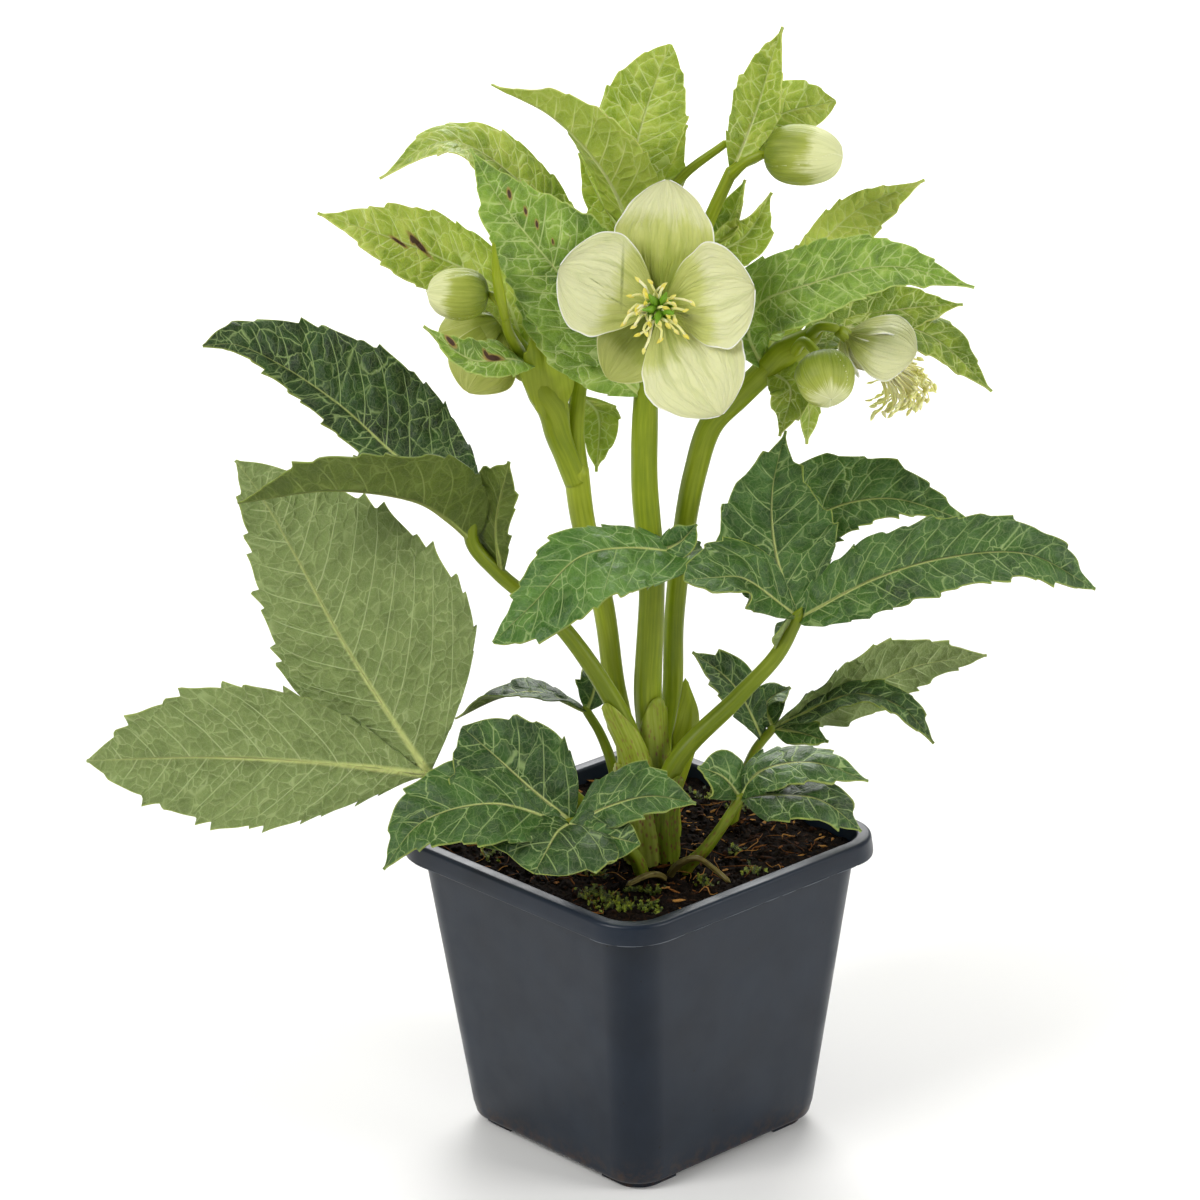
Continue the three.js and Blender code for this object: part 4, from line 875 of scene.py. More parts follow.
print("one lump has", LUMP_POINTS, "points")

# %% [markdown]
# The lumps take their colour from a number that each of them carries: near black for peat, brown for
# rotted bark, and orange to tan for fresh slivers, which are long and flat. A few crumbs were spilt
# on the lip when the pot was filled.

# %% Crumbs and bark
CRUMBS = 1800
SLIVERS = 440
SPILT_AT = [(-57.5, 22), (-58, 15), (-57.6, 4), (-52, 57), (20, -57.8), (24, -57.6), (57.7, -31)]
SPILT_EACH = 3
crumb_sizes = dice.uniform(0.3, 1.2, (CRUMBS, 1)) * dice.uniform(0.6, 1.2, (CRUMBS, 3))
crumbs = lumps(scatter_spots(CRUMBS), crumb_sizes, dice.uniform(0, 0.5, CRUMBS))
widths, heights = dice.uniform(0.15, 0.4, SLIVERS), dice.uniform(0.08, 0.2, SLIVERS)
sliver_sizes = dice.uniform(0.9, 3.4, (SLIVERS, 1)) * np.column_stack([np.ones(SLIVERS), widths, heights])
bark = lumps(scatter_spots(SLIVERS), sliver_sizes, dice.uniform(0.3, 1, SLIVERS) ** 1.1, tilt=0.3)
spilt_count = SPILT_EACH * len(SPILT_AT)
lip_spots = np.repeat([(x, y, POT_TOP - 0.1) for x, y in SPILT_AT], SPILT_EACH, axis=0)
lip_spots = lip_spots + dice.normal(0, 1.2, (spilt_count, 3)) * [0.3, 1, 0]
spilt_sizes = dice.uniform(0.25, 0.6, (spilt_count, 3))
spilt = lumps(lip_spots, spilt_sizes, dice.uniform(0.1, 0.7, spilt_count))

bark_and_crumbs, tree, shader = new_material("bark_and_peat_crumbs", Roughness=0.9, Specular_IOR_Level=0.12)
tone = add(tree, "Attribute", attribute_name="tone").outputs["Fac"]
millimetres = in_millimetres(tree)
streak = add(tree, "TexNoise", {"Vector": millimetres, "Scale": 1 / 0.7, "Detail": 4.0}).outputs["Fac"]
tone = add(tree, "Math", {0: streak, 1: 0.3, 2: tone}, operation="MULTIPLY_ADD").outputs[0]
tone = add(tree, "Math", {0: tone, 1: 0.15}, operation="SUBTRACT").outputs[0]
woods = [(0.0, "#060302"), (0.4, "#160d06"), (0.6, "#3a200e"), (0.8, "#6e431b"), (0.97, "#a0733a")]
wood = add(tree, "ValToRGB", {0: tone}, stops=woods).outputs[0]
tree.links.new(wood, shader.inputs["Base Color"])
bump = add(tree, "Bump", {"Height": streak, "Strength": 0.6, "Distance": 0.0004}).outputs[0]
tree.links.new(bump, shader.inputs["Normal"])
make_piece("peat_crumbs", [crumbs, bark, spilt], bark_and_crumbs, ["soil"], in_plant=False)

# %% [markdown]
# Root fibres lie on the peat, 5 to 17 mm long. Each is a thin stalk through four points that wander to
# both sides of a straight line and hop up and down a little, in the colours of the bark.

# %% Root fibres
FIBRES = 120
INSIDE = 55  # nothing small is put further out than this
fibres = []
for number, (x, y, z) in enumerate(scatter_spots(FIBRES, keep=0.97)):
    heading, long = dice.uniform(0, 2 * np.pi), dice.uniform(5, 17)
    c, s = math.cos(heading), math.sin(heading)
    wander = dice.normal(0, 0.22, 4)
    steps = zip(np.linspace(-0.5, 0.5, 4), wander)
    path = [(x + long * (step * c + aside * s), y + long * (step * s - aside * c)) for step, aside in steps]
    path = [(px, py) for px, py in path if max(abs(px), abs(py)) < INSIDE]
    if len(path) < 3:
        continue
    hop = dice.uniform(0.1, 1.3)
    path = [(px, py, float(peat_height(px, py)) + 0.25 + hop * (i % 2)) for i, (px, py) in enumerate(path)]
    thick, tone = dice.uniform(0.16, 0.34), dice.uniform(0.45, 1)
    fibres.append(stalk(path, [0.1, thick, 0.08], sides=5, step=1.3, ridges=0.15, seed=number, tone=tone))
make_piece("root_fibres", fibres, bark_and_crumbs, ["soil"], in_plant=False)

# %% [markdown]
# Moss grows where the peat stays wet, near the front corner and behind the crown. A moss shoot is a
# short stem with whorls of tiny pointed leaves. Each leaf here is a folded diamond about 1 mm long,
# and the shoots are scattered in loose cushions. They are thin, so a little light goes through them.

# %% Moss
# each cushion's place, how far it spreads and how many shoots it has
CUSHIONS = [
    (33, -42, 6.5, 95), (22, -43, 5, 60), (44, -36, 4.5, 45), (42, -8, 3, 22), (9, -29, 3.5, 22),
    (30, -30, 3.5, 26), (36, -26, 3, 16), (-18, 50, 5, 30), (2, 47, 4, 22), (-44, 30, 4, 22),
    (47, 12, 3.5, 20), (30, 20, 3, 14), (-30, -45, 4, 20),
]


def shoot(x, y):
    """Leaf corners of one moss shoot, four for each leaf, and the shoot's tone."""
    foot = np.array([x, y, float(peat_height(x, y)) - 0.2])
    lean = np.array([*dice.normal(0, 0.35, 2), 1.0])
    lean = lean / np.linalg.norm(lean)
    tall, tone = dice.uniform(0.8, 2.6), dice.uniform(0, 1)
    corners = []
    for whorl in range(int(3 + tall * 2)):
        root = foot + lean * tall * whorl / (3 + tall * 2)
        for leaf in range(4):
            heading = leaf * np.pi / 2 + whorl * 0.8
            out = np.array([math.cos(heading), math.sin(heading), 0])
            long = dice.uniform(0.7, 1.25)
            side = np.cross(out, [0, 0, 1]) * long * 0.2
            tip = root + (out * 0.75 + lean * dice.uniform(0.3, 0.8)) * long
            middle = (root + tip) / 2 - lean * 0.08
            corners += [root, middle + side, tip, middle - side]
    return corners, tone


moss_points, moss_tones = [], []
for x, y, spread, count in CUSHIONS:
    for _ in range(count):
        px, py = x + dice.normal(0, spread / 2), y + dice.normal(0, spread / 2)
        if max(abs(px), abs(py)) > INSIDE:
            continue
        corners, tone = shoot(px, py)
        moss_points += corners
        moss_tones += [tone] * len(corners)
moss_grid = {
    "points": np.array(moss_points),
    "quads": np.arange(len(moss_points)).reshape(-1, 4),
    "tone": np.array(moss_tones),
}
moss_leaf, tree, shader = new_material(
    "moss_leaf", Roughness=0.6, Subsurface_Weight=0.1, Subsurface_Scale=0.0006
)
tone = add(tree, "Attribute", attribute_name="tone").outputs["Fac"]
greens = [(0.0, "#333f08"), (0.55, "#5f6d10"), (1.0, "#99a628")]
green = add(tree, "ValToRGB", {0: tone}, stops=greens).outputs[0]
tree.links.new(green, shader.inputs["Base Color"])
make_piece("moss", [moss_grid], moss_leaf, ["soil"], in_plant=False)

# %% [markdown]
# A living stalk is yellow-green with pale and dark streaks that follow its length, and red flecks
# where it comes out of the crown. The streaks are noise that is read in the stalk's own measure, mm
# round it and mm along it, so that they stay lengthwise on every bend. An image wrapped round it would
# stretch there. The thin wax on the skin has an IOR near 1.42, and light goes a little way in.

# %% Stalk tissue


def stalk_tissue(name, deep, middle, pale, fleck, fleck_top, light=0.15):
    """Stalk skin in three greens with flecks up to a height in mm."""
    material, tree, shader = new_material(
        name, IOR=1.42, Specular_IOR_Level=0.38, Subsurface_Weight=light, Subsurface_Radius=(0.8, 1.0, 0.25),
        Subsurface_Scale=0.002,
    )
    place = add(tree, "Attribute", attribute_name="place").outputs["Vector"]
    tone = add(tree, "Attribute", attribute_name="tone").outputs["Fac"]
    millimetres = in_millimetres(tree)
    lengthwise = add(tree, "VectorMath", {0: place, 1: (1.1, 0.05, 0.0)}, operation="MULTIPLY").outputs[0]
    streak = add(tree, "TexNoise", {"Vector": lengthwise, "Scale": 1.0, "Detail": 5.0}).outputs["Fac"]
    cloud = add(tree, "TexNoise", {"Vector": millimetres, "Scale": 1 / 18, "Detail": 3.0}).outputs["Fac"]
    level = add(tree, "Math", {0: cloud, 1: 0.6, 2: streak}, operation="MULTIPLY_ADD").outputs[0]
    level = add(tree, "Math", {0: tone, 1: 0.5, 2: level}, operation="MULTIPLY_ADD").outputs[0]
    level = add(tree, "MapRange", {0: level, 1: 0.6, 2: 1.5}).outputs[0]
    green = add(tree, "ValToRGB", {0: level}, stops=[(0.0, deep), (0.5, middle), (1.0, pale)]).outputs[0]
    height = add(tree, "SeparateXYZ", {0: millimetres}).outputs[2]
    fade = add(tree, "MapRange", {0: height, 1: fleck_top - 35.0, 2: fleck_top, 3: 1.0, 4: 0.0}).outputs[0]
    drops = add(tree, "VectorMath", {0: place, 1: (1.0, 0.45, 0.0)}, operation="MULTIPLY").outputs[0]
    drops = {"Vector": drops, "Scale": 1 / 1.3, "Randomness": 1.0}
    drops = add(tree, "TexVoronoi", drops).outputs["Distance"]
    mask = add(tree, "MapRange", {0: drops, 1: 0.12, 2: 0.42, 3: 0.85, 4: 0.0}).outputs[0]
    mask = add(tree, "Math", {0: mask, 1: fade}, operation="MULTIPLY").outputs[0]
    flecked = add(tree, "Mix", {0: mask, 6: green, 7: fleck}, data_type="RGBA").outputs[2]
    tree.links.new(flecked, shader.inputs["Base Color"])
    shine = add(tree, "MapRange", {0: streak, 1: 0.3, 2: 0.7, 3: 0.34, 4: 0.5}).outputs[0]
    tree.links.new(shine, shader.inputs["Roughness"])
    bump = add(tree, "Bump", {"Height": streak, "Strength": 0.2, "Distance": 0.0003}).outputs[0]
    tree.links.new(bump, shader.inputs["Normal"])
    return material


flower_stem = stalk_tissue("hellebore_stem_skin", "#667c0a", "#869716", "#a6b22e", "#7d3a30", 150.0)
petiole_skin = stalk_tissue("hellebore_petiole_skin", "#5e730e", "#7c8c1b", "#99a432", "#7d3a30", 150.0)
withered_skin = stalk_tissue("withered_stalk_skin", "#2e2610", "#5f5426", "#8a8044", "#33200f", 140.0)
papery_sheath = stalk_tissue("papery_sheath", "#6a7b16", "#93a22e", "#b8be5e", "#84413a", 178.0)
print("stalk tissues:", flower_stem.name, petiole_skin.name, withered_skin.name)

# %% [markdown]
# Leaf tissue is a dark green field with a pale net of veins. A net could be painted, but then on every
# blade anew. Here it is the edge distance of Voronoi cells in three sizes, read in the blade's own
# measure and bent a little by noise. The side veins are stripes that run forward from the midrib. The
# finest of the three sizes is coarser than the real net, so that it still shows.

# %% Leaf veins
NET_SIZES = (1.0, 2.4, 5.5)


def leaf_lines(tree, read, web, margin):
    """Masks of the midrib and of all other veins, and the distance to the nearest net vein."""
    widths = add(tree, "SeparateXYZ", {0: read["line"]["Vector"]}).outputs
    # the midrib, thinner towards the tip
    rib = {0: read["off"]["Fac"], 1: 0.35, 2: 1.0, 3: 1.0, 4: 0.0}
    rib = add(tree, "MapRange", rib, interpolation_type="SMOOTHSTEP").outputs[0]
    # the side veins
    stripe = add(tree, "Math", {0: read["vein"]["Fac"], 1: 0.5}, operation="ADD").outputs[0]
    stripe = add(tree, "Math", {0: stripe}, operation="FRACT").outputs[0]
    stripe = add(tree, "Math", {0: stripe, 1: 0.5}, operation="SUBTRACT").outputs[0]
    stripe = add(tree, "Math", {0: stripe}, operation="ABSOLUTE").outputs[0]
    stripe = add(tree, "MapRange", {0: stripe, 1: 0.002, 2: widths[1], 3: 1.15, 4: 0.0}).outputs[0]
    inner = add(tree, "MapRange", {0: margin, 1: 0.8, 2: 5.0}).outputs[0]
    stripe = add(tree, "Math", {0: stripe, 1: inner}, operation="MULTIPLY").outputs[0]
    # the net, clear in some places and faint in others
    edges = []
    for size in NET_SIZES:
        cells = add(tree, "TexVoronoi", {"Vector": web, "Scale": size}, feature="DISTANCE_TO_EDGE")
        edges.append(cells.outputs["Distance"])
    clear = add(tree, "TexNoise", {"Vector": web, "Scale": 0.4, "Detail": 2.0}).outputs["Fac"]
    clear = add(tree, "MapRange", {0: clear, 1: 0.35, 2: 0.62, 3: 0.45, 4: 1.0}).outputs[0]
    net = add(tree, "MapRange", {0: edges[0], 1: 0.006, 2: widths[0], 3: 1.0, 4: 0.0}).outputs[0]
    net = add(tree, "Math", {0: net, 1: clear}, operation="MULTIPLY").outputs[0]
    faint = add(tree, "MapRange", {0: read["under"]["Fac"], 3: 1.0, 4: 0.6}).outputs[0]
    net = add(tree, "Math", {0: net, 1: faint}, operation="MULTIPLY").outputs[0]
    mesh = add(tree, "MapRange", {0: edges[1], 1: 0.01, 2: 0.05, 3: 0.26, 4: 0.0}).outputs[0]
    lace = add(tree, "MapRange", {0: edges[2], 1: 0.02, 2: 0.1, 3: 0.13, 4: 0.0}).outputs[0]
    lines = add(tree, "Math", {0: net, 1: mesh}, operation="MAXIMUM").outputs[0]
    lines = add(tree, "Math", {0: lines, 1: lace}, operation="MAXIMUM").outputs[0]
    lines = add(tree, "Math", {0: lines, 1: stripe}, operation="MAXIMUM").outputs[0]
    return rib, lines, edges[0]


print("the net's cells are finer by", NET_SIZES)

# %% [markdown]
# Between the veins the colour drifts in patches and is lighter beside a vein. A scar is a dark brown
# core with a tan seam round it. The veins sink on the upper side and stand out on the lower one, and
# the field puckers between them: the same masks drive colour and relief, so they always agree.

# %% Leaf field, scars and relief
RAMP_PLACES = (0.0, 0.5, 1.0)


def leaf_field(tree, read, web, near, greens, unders):
    """The colour between the veins on both sides of a leaf, and the noise of its patches."""
    below = read["under"]["Fac"]
    patch = {"Vector": web, "Scale": 0.55, "Detail": 6.0, "Roughness": 0.6}
    patch = add(tree, "TexNoise", patch).outputs["Fac"]
    level = {0: read["tone"]["Fac"], 1: 0.25, 2: patch}
    level = add(tree, "Math", level, operation="MULTIPLY_ADD").outputs[0]
    beside = add(tree, "MapRange", {0: near, 1: 0.0, 2: 0.2, 3: 0.12, 4: 0.0}).outputs[0]
    level = add(tree, "Math", {0: level, 1: beside}, operation="ADD").outputs[0]
    level = add(tree, "MapRange", {0: level, 1: 0.38, 2: 0.88}).outputs[0]
    upper = add(tree, "ValToRGB", {0: level}, stops=list(zip(RAMP_PLACES, greens))).outputs[0]
    calm = add(tree, "Math", {0: level, 1: 0.6, 2: 0.2}, operation="MULTIPLY_ADD").outputs[0]
    lower = add(tree, "ValToRGB", {0: calm}, stops=list(zip(RAMP_PLACES, unders))).outputs[0]
    return add(tree, "Mix", {0: below, 6: upper, 7: lower}, data_type="RGBA").outputs[2], patch


def leaf_scars(tree, hurt, patch, colour):
    """A leaf's colour with its scars: brown inside and tan round them."""
    ragged = add(tree, "Math", {0: patch, 1: 0.9, 2: hurt}, operation="MULTIPLY_ADD").outputs[0]
    tan = add(tree, "MapRange", {0: ragged, 1: 1.35, 2: 1.7, 3: 0.85, 4: 0.0}).outputs[0]
    tanned = add(tree, "Mix", {0: tan, 6: colour, 7: "#a58a45"}, data_type="RGBA").outputs[2]
    scar = add(tree, "MapRange", {0: ragged, 1: 1.05, 2: 1.3, 3: 1.0, 4: 0.0}).outputs[0]
    return add(tree, "Mix", {0: scar, 6: tanned, 7: "#4a2f1e"}, data_type="RGBA").outputs[2]


def leaf_relief(tree, below, web, near, lines, relief):
    """The relief of veins, puckers and cells, turned round on the lower side."""
    pucker = {0: near, 1: 0.0, 2: 0.3, 3: 1.0, 4: 0.0}
    pucker = add(tree, "MapRange", pucker, interpolation_type="SMOOTHSTEP").outputs[0]
    raised = add(tree, "Math", {0: lines, 1: 0.5, 2: pucker}, operation="MULTIPLY_ADD").outputs[0]
    sense = add(tree, "MapRange", {0: below, 3: -0.8, 4: 0.8}).outputs[0]
    raised = add(tree, "Math", {0: raised, 1: sense}, operation="MULTIPLY").outputs[0]
    cells = add(tree, "TexNoise", {"Vector": web, "Scale": 7.0, "Detail": 4.0}).outputs["Fac"]
    raised = add(tree, "Math", {0: cells, 1: 0.7, 2: raised}, operation="MULTIPLY_ADD").outputs[0]
    return add(tree, "Bump", {"Height": raised, "Strength": relief, "Distance": 0.0007}).outputs[0]


print("three greens a side, at", RAMP_PLACES)

# %% [markdown]
# One function puts these together, from the field up to the pale rim and the scars. The lower side is
# grey-green and more matt. Five skins are made with it: the old leaves, two leaflets that have folded
# over, in a darker copy whose darkness is painted shade, the young leaf on the stem, and the bracts in a
# yellower green and in a bluer, darker green whose darkness is painted shade.

# %% Leaf tissue


def leaf_tissue(name, greens, unders, vein, vein_under, midrib, rim, sheen, relief=0.6, light=0.15,
                drawn=0.8):
    """Leaf skin: three greens for each side, pale veins, a pale rim and brown scars."""
    material, tree, shader = new_material(
        name, IOR=1.42, Subsurface_Weight=light, Subsurface_Radius=(0.5, 1.0, 0.2), Subsurface_Scale=0.0012
    )
    names = ("place", "web", "vein", "share", "hurt", "tone", "under", "off", "line")
    read = {key: add(tree, "Attribute", attribute_name=key).outputs for key in names}
    margin = add(tree, "SeparateXYZ", {0: read["place"]["Vector"]}).outputs[2]
    below, straight = read["under"]["Fac"], read["web"]["Vector"]
    bent = add(tree, "TexNoise", {"Vector": straight, "Scale": 1.1, "Detail": 4.0}).outputs["Color"]
    web = {0: bent, 1: (0.75, 0.75, 0.0), 2: straight}
    web = add(tree, "VectorMath", web, operation="MULTIPLY_ADD").outputs[0]
    rib, lines, near = leaf_lines(tree, read, web, margin)
    field, patch = leaf_field(tree, read, web, near, greens, unders)
    ink = add(tree, "Math", {0: lines, 1: drawn}, operation="MULTIPLY").outputs[0]
    ink_colour = add(tree, "Mix", {0: below, 6: vein, 7: vein_under}, data_type="RGBA").outputs[2]
    veined = add(tree, "Mix", {0: ink, 6: field, 7: ink_colour}, data_type="RGBA").outputs[2]
    ribbed = add(tree, "Mix", {0: rib, 6: veined, 7: midrib}, data_type="RGBA").outputs[2]
    border = add(tree, "MapRange", {0: margin, 1: 0.05, 2: 0.42, 3: 0.8, 4: 0.0}).outputs[0]
    outward = add(tree, "MapRange", {0: read["share"]["Fac"], 1: 0.25, 2: 0.5}).outputs[0]
    border = add(tree, "Math", {0: border, 1: outward}, operation="MULTIPLY").outputs[0]
    rimmed = add(tree, "Mix", {0: border, 6: ribbed, 7: rim}, data_type="RGBA").outputs[2]
    scarred = leaf_scars(tree, read["hurt"]["Fac"], patch, rimmed)
    tree.links.new(scarred, shader.inputs["Base Color"])
    matt = add(tree, "MapRange", {0: patch, 1: 0.3, 2: 0.7, 3: sheen, 4: sheen + 0.12}).outputs[0]
    matt = add(tree, "Math", {0: below, 1: 0.16, 2: matt}, operation="MULTIPLY_ADD").outputs[0]
    tree.links.new(matt, shader.inputs["Roughness"])
    tree.links.new(leaf_relief(tree, below, web, near, lines, relief), shader.inputs["Normal"])
    return material


DARK_GREENS = ("#15290a", "#284814", "#426824")
leaf_skin = leaf_tissue(
    "hellebore_leaf_skin", DARK_GREENS, ("#46551a", "#738546", "#8c9d5c"),
    vein="#a3b874", vein_under="#b9c68a", midrib="#c3cc7c", rim="#a3b052", sheen=0.42, relief=0.9,
)
# a darker copy of the leaf skin: painted shade on the lower side of the folded leaflets
shaded_folded_leaf_skin = leaf_tissue(
    "shaded_folded_leaf_skin", DARK_GREENS, ("#3c4c0c", "#5b6c20", "#74843a"),
    vein="#a3b874", vein_under="#93a254", midrib="#a9b55c", rim="#94a446", sheen=0.42, relief=0.9, drawn=0.6,
)
fresh_leaf_skin = leaf_tissue(
    "fresh_leaf_skin", ("#20420c", "#38611a", "#5c8434"), ("#55682a", "#6f8240", "#8a9b54"),
    vein="#a8c07a", vein_under="#b2c082", midrib="#c3cc7c", rim="#a3b052", sheen=0.42, relief=0.9,
)
bract_skin = leaf_tissue(
    "hellebore_bract_skin", ("#6a8512", "#98ac2e", "#bfc956"), ("#7a9120", "#a0b13c", "#c0ca64"),
    vein="#d6de94", vein_under="#d0d88a", midrib="#d6de94", rim="#d0d67a", sheen=0.45, relief=0.65,
    light=0.2, drawn=0.75,
)
# bluer and darker than the bract skin: the blue is the bracts' own, the darkness is painted shade
cool_shaded_bract_skin = leaf_tissue(
    "shaded_bract_skin", ("#517216", "#7c9e2e", "#a8c056"), ("#6c8a2a", "#8fa840", "#aabf5e"),
    vein="#c8d68e", vein_under="#c4d288", midrib="#ccd88a", rim="#bccb6c", sheen=0.42, relief=0.7,
    light=0.2, drawn=0.75,
)
print("leaf tissues:", leaf_skin.name, bract_skin.name, cool_shaded_bract_skin.name)

# %% [markdown]
# Three flowering stems rise from the crown, and each ends in a fork whose joints are swollen. A stalk
# could be a curve with a bevel. Here it is given by points and the radii along it, in millimetres and
# in the plant's frame. The numbers are the CAD source's, so solid and visual part agree.

# %% Stems and forks
STEM_FOOT = 104
STEMS = {
    "centre": dict(
        path=[[5, -4, STEM_FOOT], [5, -4, 151], [4, -4, 168], [6, -2, 211], [4, 0, 248], [5, 0, 287],
            [5, 5, 308], [4, 8, 336]],
        radii=[4.8, 5, 5, 4.6, 4.8, 4.6, 3.4, 2.6], seed=6, tone=0.5,
    ),
    # the left stem's light tone is painted light: it stands in the shade of the bracts above
    "left": dict(
        path=[[-3, 5, STEM_FOOT], [-4, 6, 146], [-8, 5, 171], [-11, 4, 198], [-18, 2, 233], [-20, 0, 252]],
        radii=[3.6, 3.8, 3.8, 4, 4.6], seed=4, tone=1.0,
    ),
    "right": dict(
        path=[[10, 7, STEM_FOOT], [10, 8, 142], [13, 9, 164], [14, 10, 192], [18, 12, 225], [22, 12, 246],
            [28, 10, 265], [38, 8, 276], [48, 5, 287]],
        radii=[3.6, 3.7, 3.7, 3.6, 3.8, 4.2, 4.4, 4.6], seed=5, tone=0.5,
    ),
}
FORKS = {
    "centre": [
        # stalk of the open bloom
        dict(path=[[5, 3, 300], [7, -8, 307], [8.6, -17.6, 316.2]], radii=[2.8, 2.2, 2.2]),
        # branch to the top bud
        dict(path=[[5, 2, 296], [15, 8, 310], [22.5, 11, 325], [28.5, 12, 340], [36, 13, 356]],
            radii=[3, 2.6, 2.3, 2.2]),
        dict(path=[[35, 13, 354], [41, 10, 360], [46.2, 8.4, 362.8]], radii=[2.2, 1.7, 1.6]),
        # rib of the leafy branch behind the bloom
        dict(path=[[4, 8, 332], [18, 18, 352], [34, 20, 364]], radii=[2.2, 1.8, 1.4]),
    ],
    "left": [
        dict(path=[[-20, 0, 248], [-26, -2, 266], [-28, -3, 277], [-36, -4, 293], [-41.5, -1, 303]],
            radii=[4.4, 4.2, 5, 6.4, 4.4, 2]),
        dict(path=[[-19, 1, 248], [-20, 2, 267], [-18, 5, 284], [-15, 7, 298]],
            radii=[3.8, 3.2, 2.8, 2.4]),
        # stalk of the closed bud
        dict(path=[[-38, -6, 296], [-42.5, -15, 308], [-44.5, -19, 318], [-47.5, -19.1, 321.9]],
            radii=[2.2, 1.8, 1.5]),
        dict(path=[[-43.5, -18, 313], [-45.5, -23, 328], [-46.5, -23, 341]], radii=[1.5, 2, 1.6, 0.6]),
    ],
    "right": [
        dict(path=[[46, 6, 285], [54, 4, 292], [64, 1, 300]], radii=[4.6, 6, 3]),
        # stalks of the round bud and of the half-open bloom
        dict(path=[[56, 2, 292], [60, -8, 300], [64.5, -15, 297]], radii=[2.2, 1.8, 1.6]),
        dict(path=[[62, 1, 299], [66, -5, 304.5], [71, -4.8, 303.7]], radii=[2.2, 1.8, 1.7]),
    ],
}
print("stalks of the forks:", {name: len(FORKS[name]) for name in STEMS})

# %% [markdown]
# Small leaf-like bracts stand where the stems fork and under the blooms. They could be copies of one
# bract. Here each has its own points along the midrib, its two half widths and the way that it faces,
# because no two of them are alike.

# %% Bract shapes
BRACTS = {
    "centre": [
        dict(rib=[[3, -3, 291], [-10, -12, 308], [-26, -15, 330], [-44, -14, 354], [-54, -9, 371]],
            half=[17, 23], face=[-0.2, -0.85, 0.45], wide=0.4, wave=2),
        dict(rib=[[3, -3, 280], [-10, -9, 294], [-27, -9, 312], [-44, -3, 334]],
            half=[12, 11], face=[-0.3, -0.8, 0.5], wide=0.45),
        dict(rib=[[3, 9, 326], [-12, 16, 350], [-17, 18, 362]], half=[6, 6], face=[0.1, -0.9, 0.3]),
        dict(rib=[[4, 7, 328], [-8, 0, 359], [-25, -6, 380.5], [-46, -14, 394.5]],
            half=[15, 11], face=[0.1, 0.5, 0.9], wide=0.42, fold=0.5),
        dict(rib=[[4, 9, 334], [2, 14, 358], [8.5, 20, 382], [15.5, 24, 398.5]],
            half=[16, 14], face=[0.1, -0.9, 0.3], wide=0.58, tip=0.75),
        dict(rib=[[6, 10, 335], [15, 26, 357], [21, 31, 368]], half=[7, 7], face=[0.1, -0.8, 0.5]),
        dict(rib=[[36, 13, 355], [45, 16, 377], [50, 14, 395], [53.5, 10, 407]],
            half=[9, 10], face=[-0.5, -0.8, 0.3], wide=0.48, fold=0.3, tip=1.4),
        dict(rib=[[35.5, 13, 355], [52, 27, 371], [73, 31, 375.5]],
            half=[12, 11], face=[-0.3, -0.8, 0.5], wide=0.55, tip=0.75),
        dict(rib=[[21, 12, 326], [34, 24, 333], [41, 27, 349]],
            half=[7, 7], face=[-0.6, -0.7, 0.3], fold=0.4),
        dict(rib=[[22, 12, 324], [40, 20, 330], [50, 20, 346]],
            half=[8, 8], face=[0.5, -0.7, 0.3], fold=0.3),
    ],
    "left": [
        dict(rib=[[-15, 7, 294], [-21, 12, 327], [-38, 15, 353], [-62, 14, 368], [-86, 7, 357]],
            half=[13, 12], face=[-0.1, -0.35, 0.95], wide=0.62),
        dict(rib=[[-37, -2, 296], [-45, 4, 316], [-66, 3, 329.5], [-86, 0, 339], [-107, -6, 348.5]],
            half=[14, 14], face=[0.3, -0.75, 0.6], wide=0.55),
        dict(rib=[[-34, -5, 292], [-42, -19, 299], [-55, -26, 301], [-71, -28, 314]],
            half=[7, 8], face=[0.05, -0.6, 0.8], wide=0.45),
        dict(rib=[[-18, 4, 278], [-12, 13, 268], [-13, 16, 246]], half=[7, 7], face=[0, -0.9, -0.3]),
        # flap of the sheath round the fork
        dict(rib=[[-27, -5, 270], [-29.5, -9.5, 290], [-31.5, -9, 308]],
            half=[8, 9], face=[0.1, -1, 0.3], wide=0.55, tip=0.8),
    ],
    "right": [
        dict(rib=[[47, 7, 286], [58, 24, 312], [78, 32, 334], [104, 30, 347]],
            half=[6.5, 15], face=[0, -0.7, 0.7], wide=0.6),
        dict(rib=[[46, 3, 287], [41, 4, 300], [45, 0, 311.5], [62, -9, 321], [89, -17, 329],
            [117.5, -22, 322.5]],
            half=[16, 17.5], face=[0.1, -0.65, 0.75], wide=0.38),
        dict(rib=[[58, 8, 293], [76, 22, 298], [97, 30, 300], [118, 31, 301]],
            half=[10, 12], face=[0.1, -0.7, 0.7], wide=0.5),
        dict(rib=[[58, 8, 292], [84, 23, 297.5], [106, 22, 292], [127, 12, 274.5]],
            half=[10, 11], face=[0.15, -0.5, 0.85], wide=0.55),
        dict(rib=[[48, 4, 286], [55, -8, 283], [51, -12, 267]], half=[8, 7], face=[-0.2, -0.6, 0.7]),
        dict(rib=[[50, 3, 287], [61, -1, 276], [61, -3, 261]], half=[6, 7], face=[0.5, -0.6, 0.5]),
    ],
}
print("bracts:", {name: len(shapes) for name, shapes in BRACTS.items()})
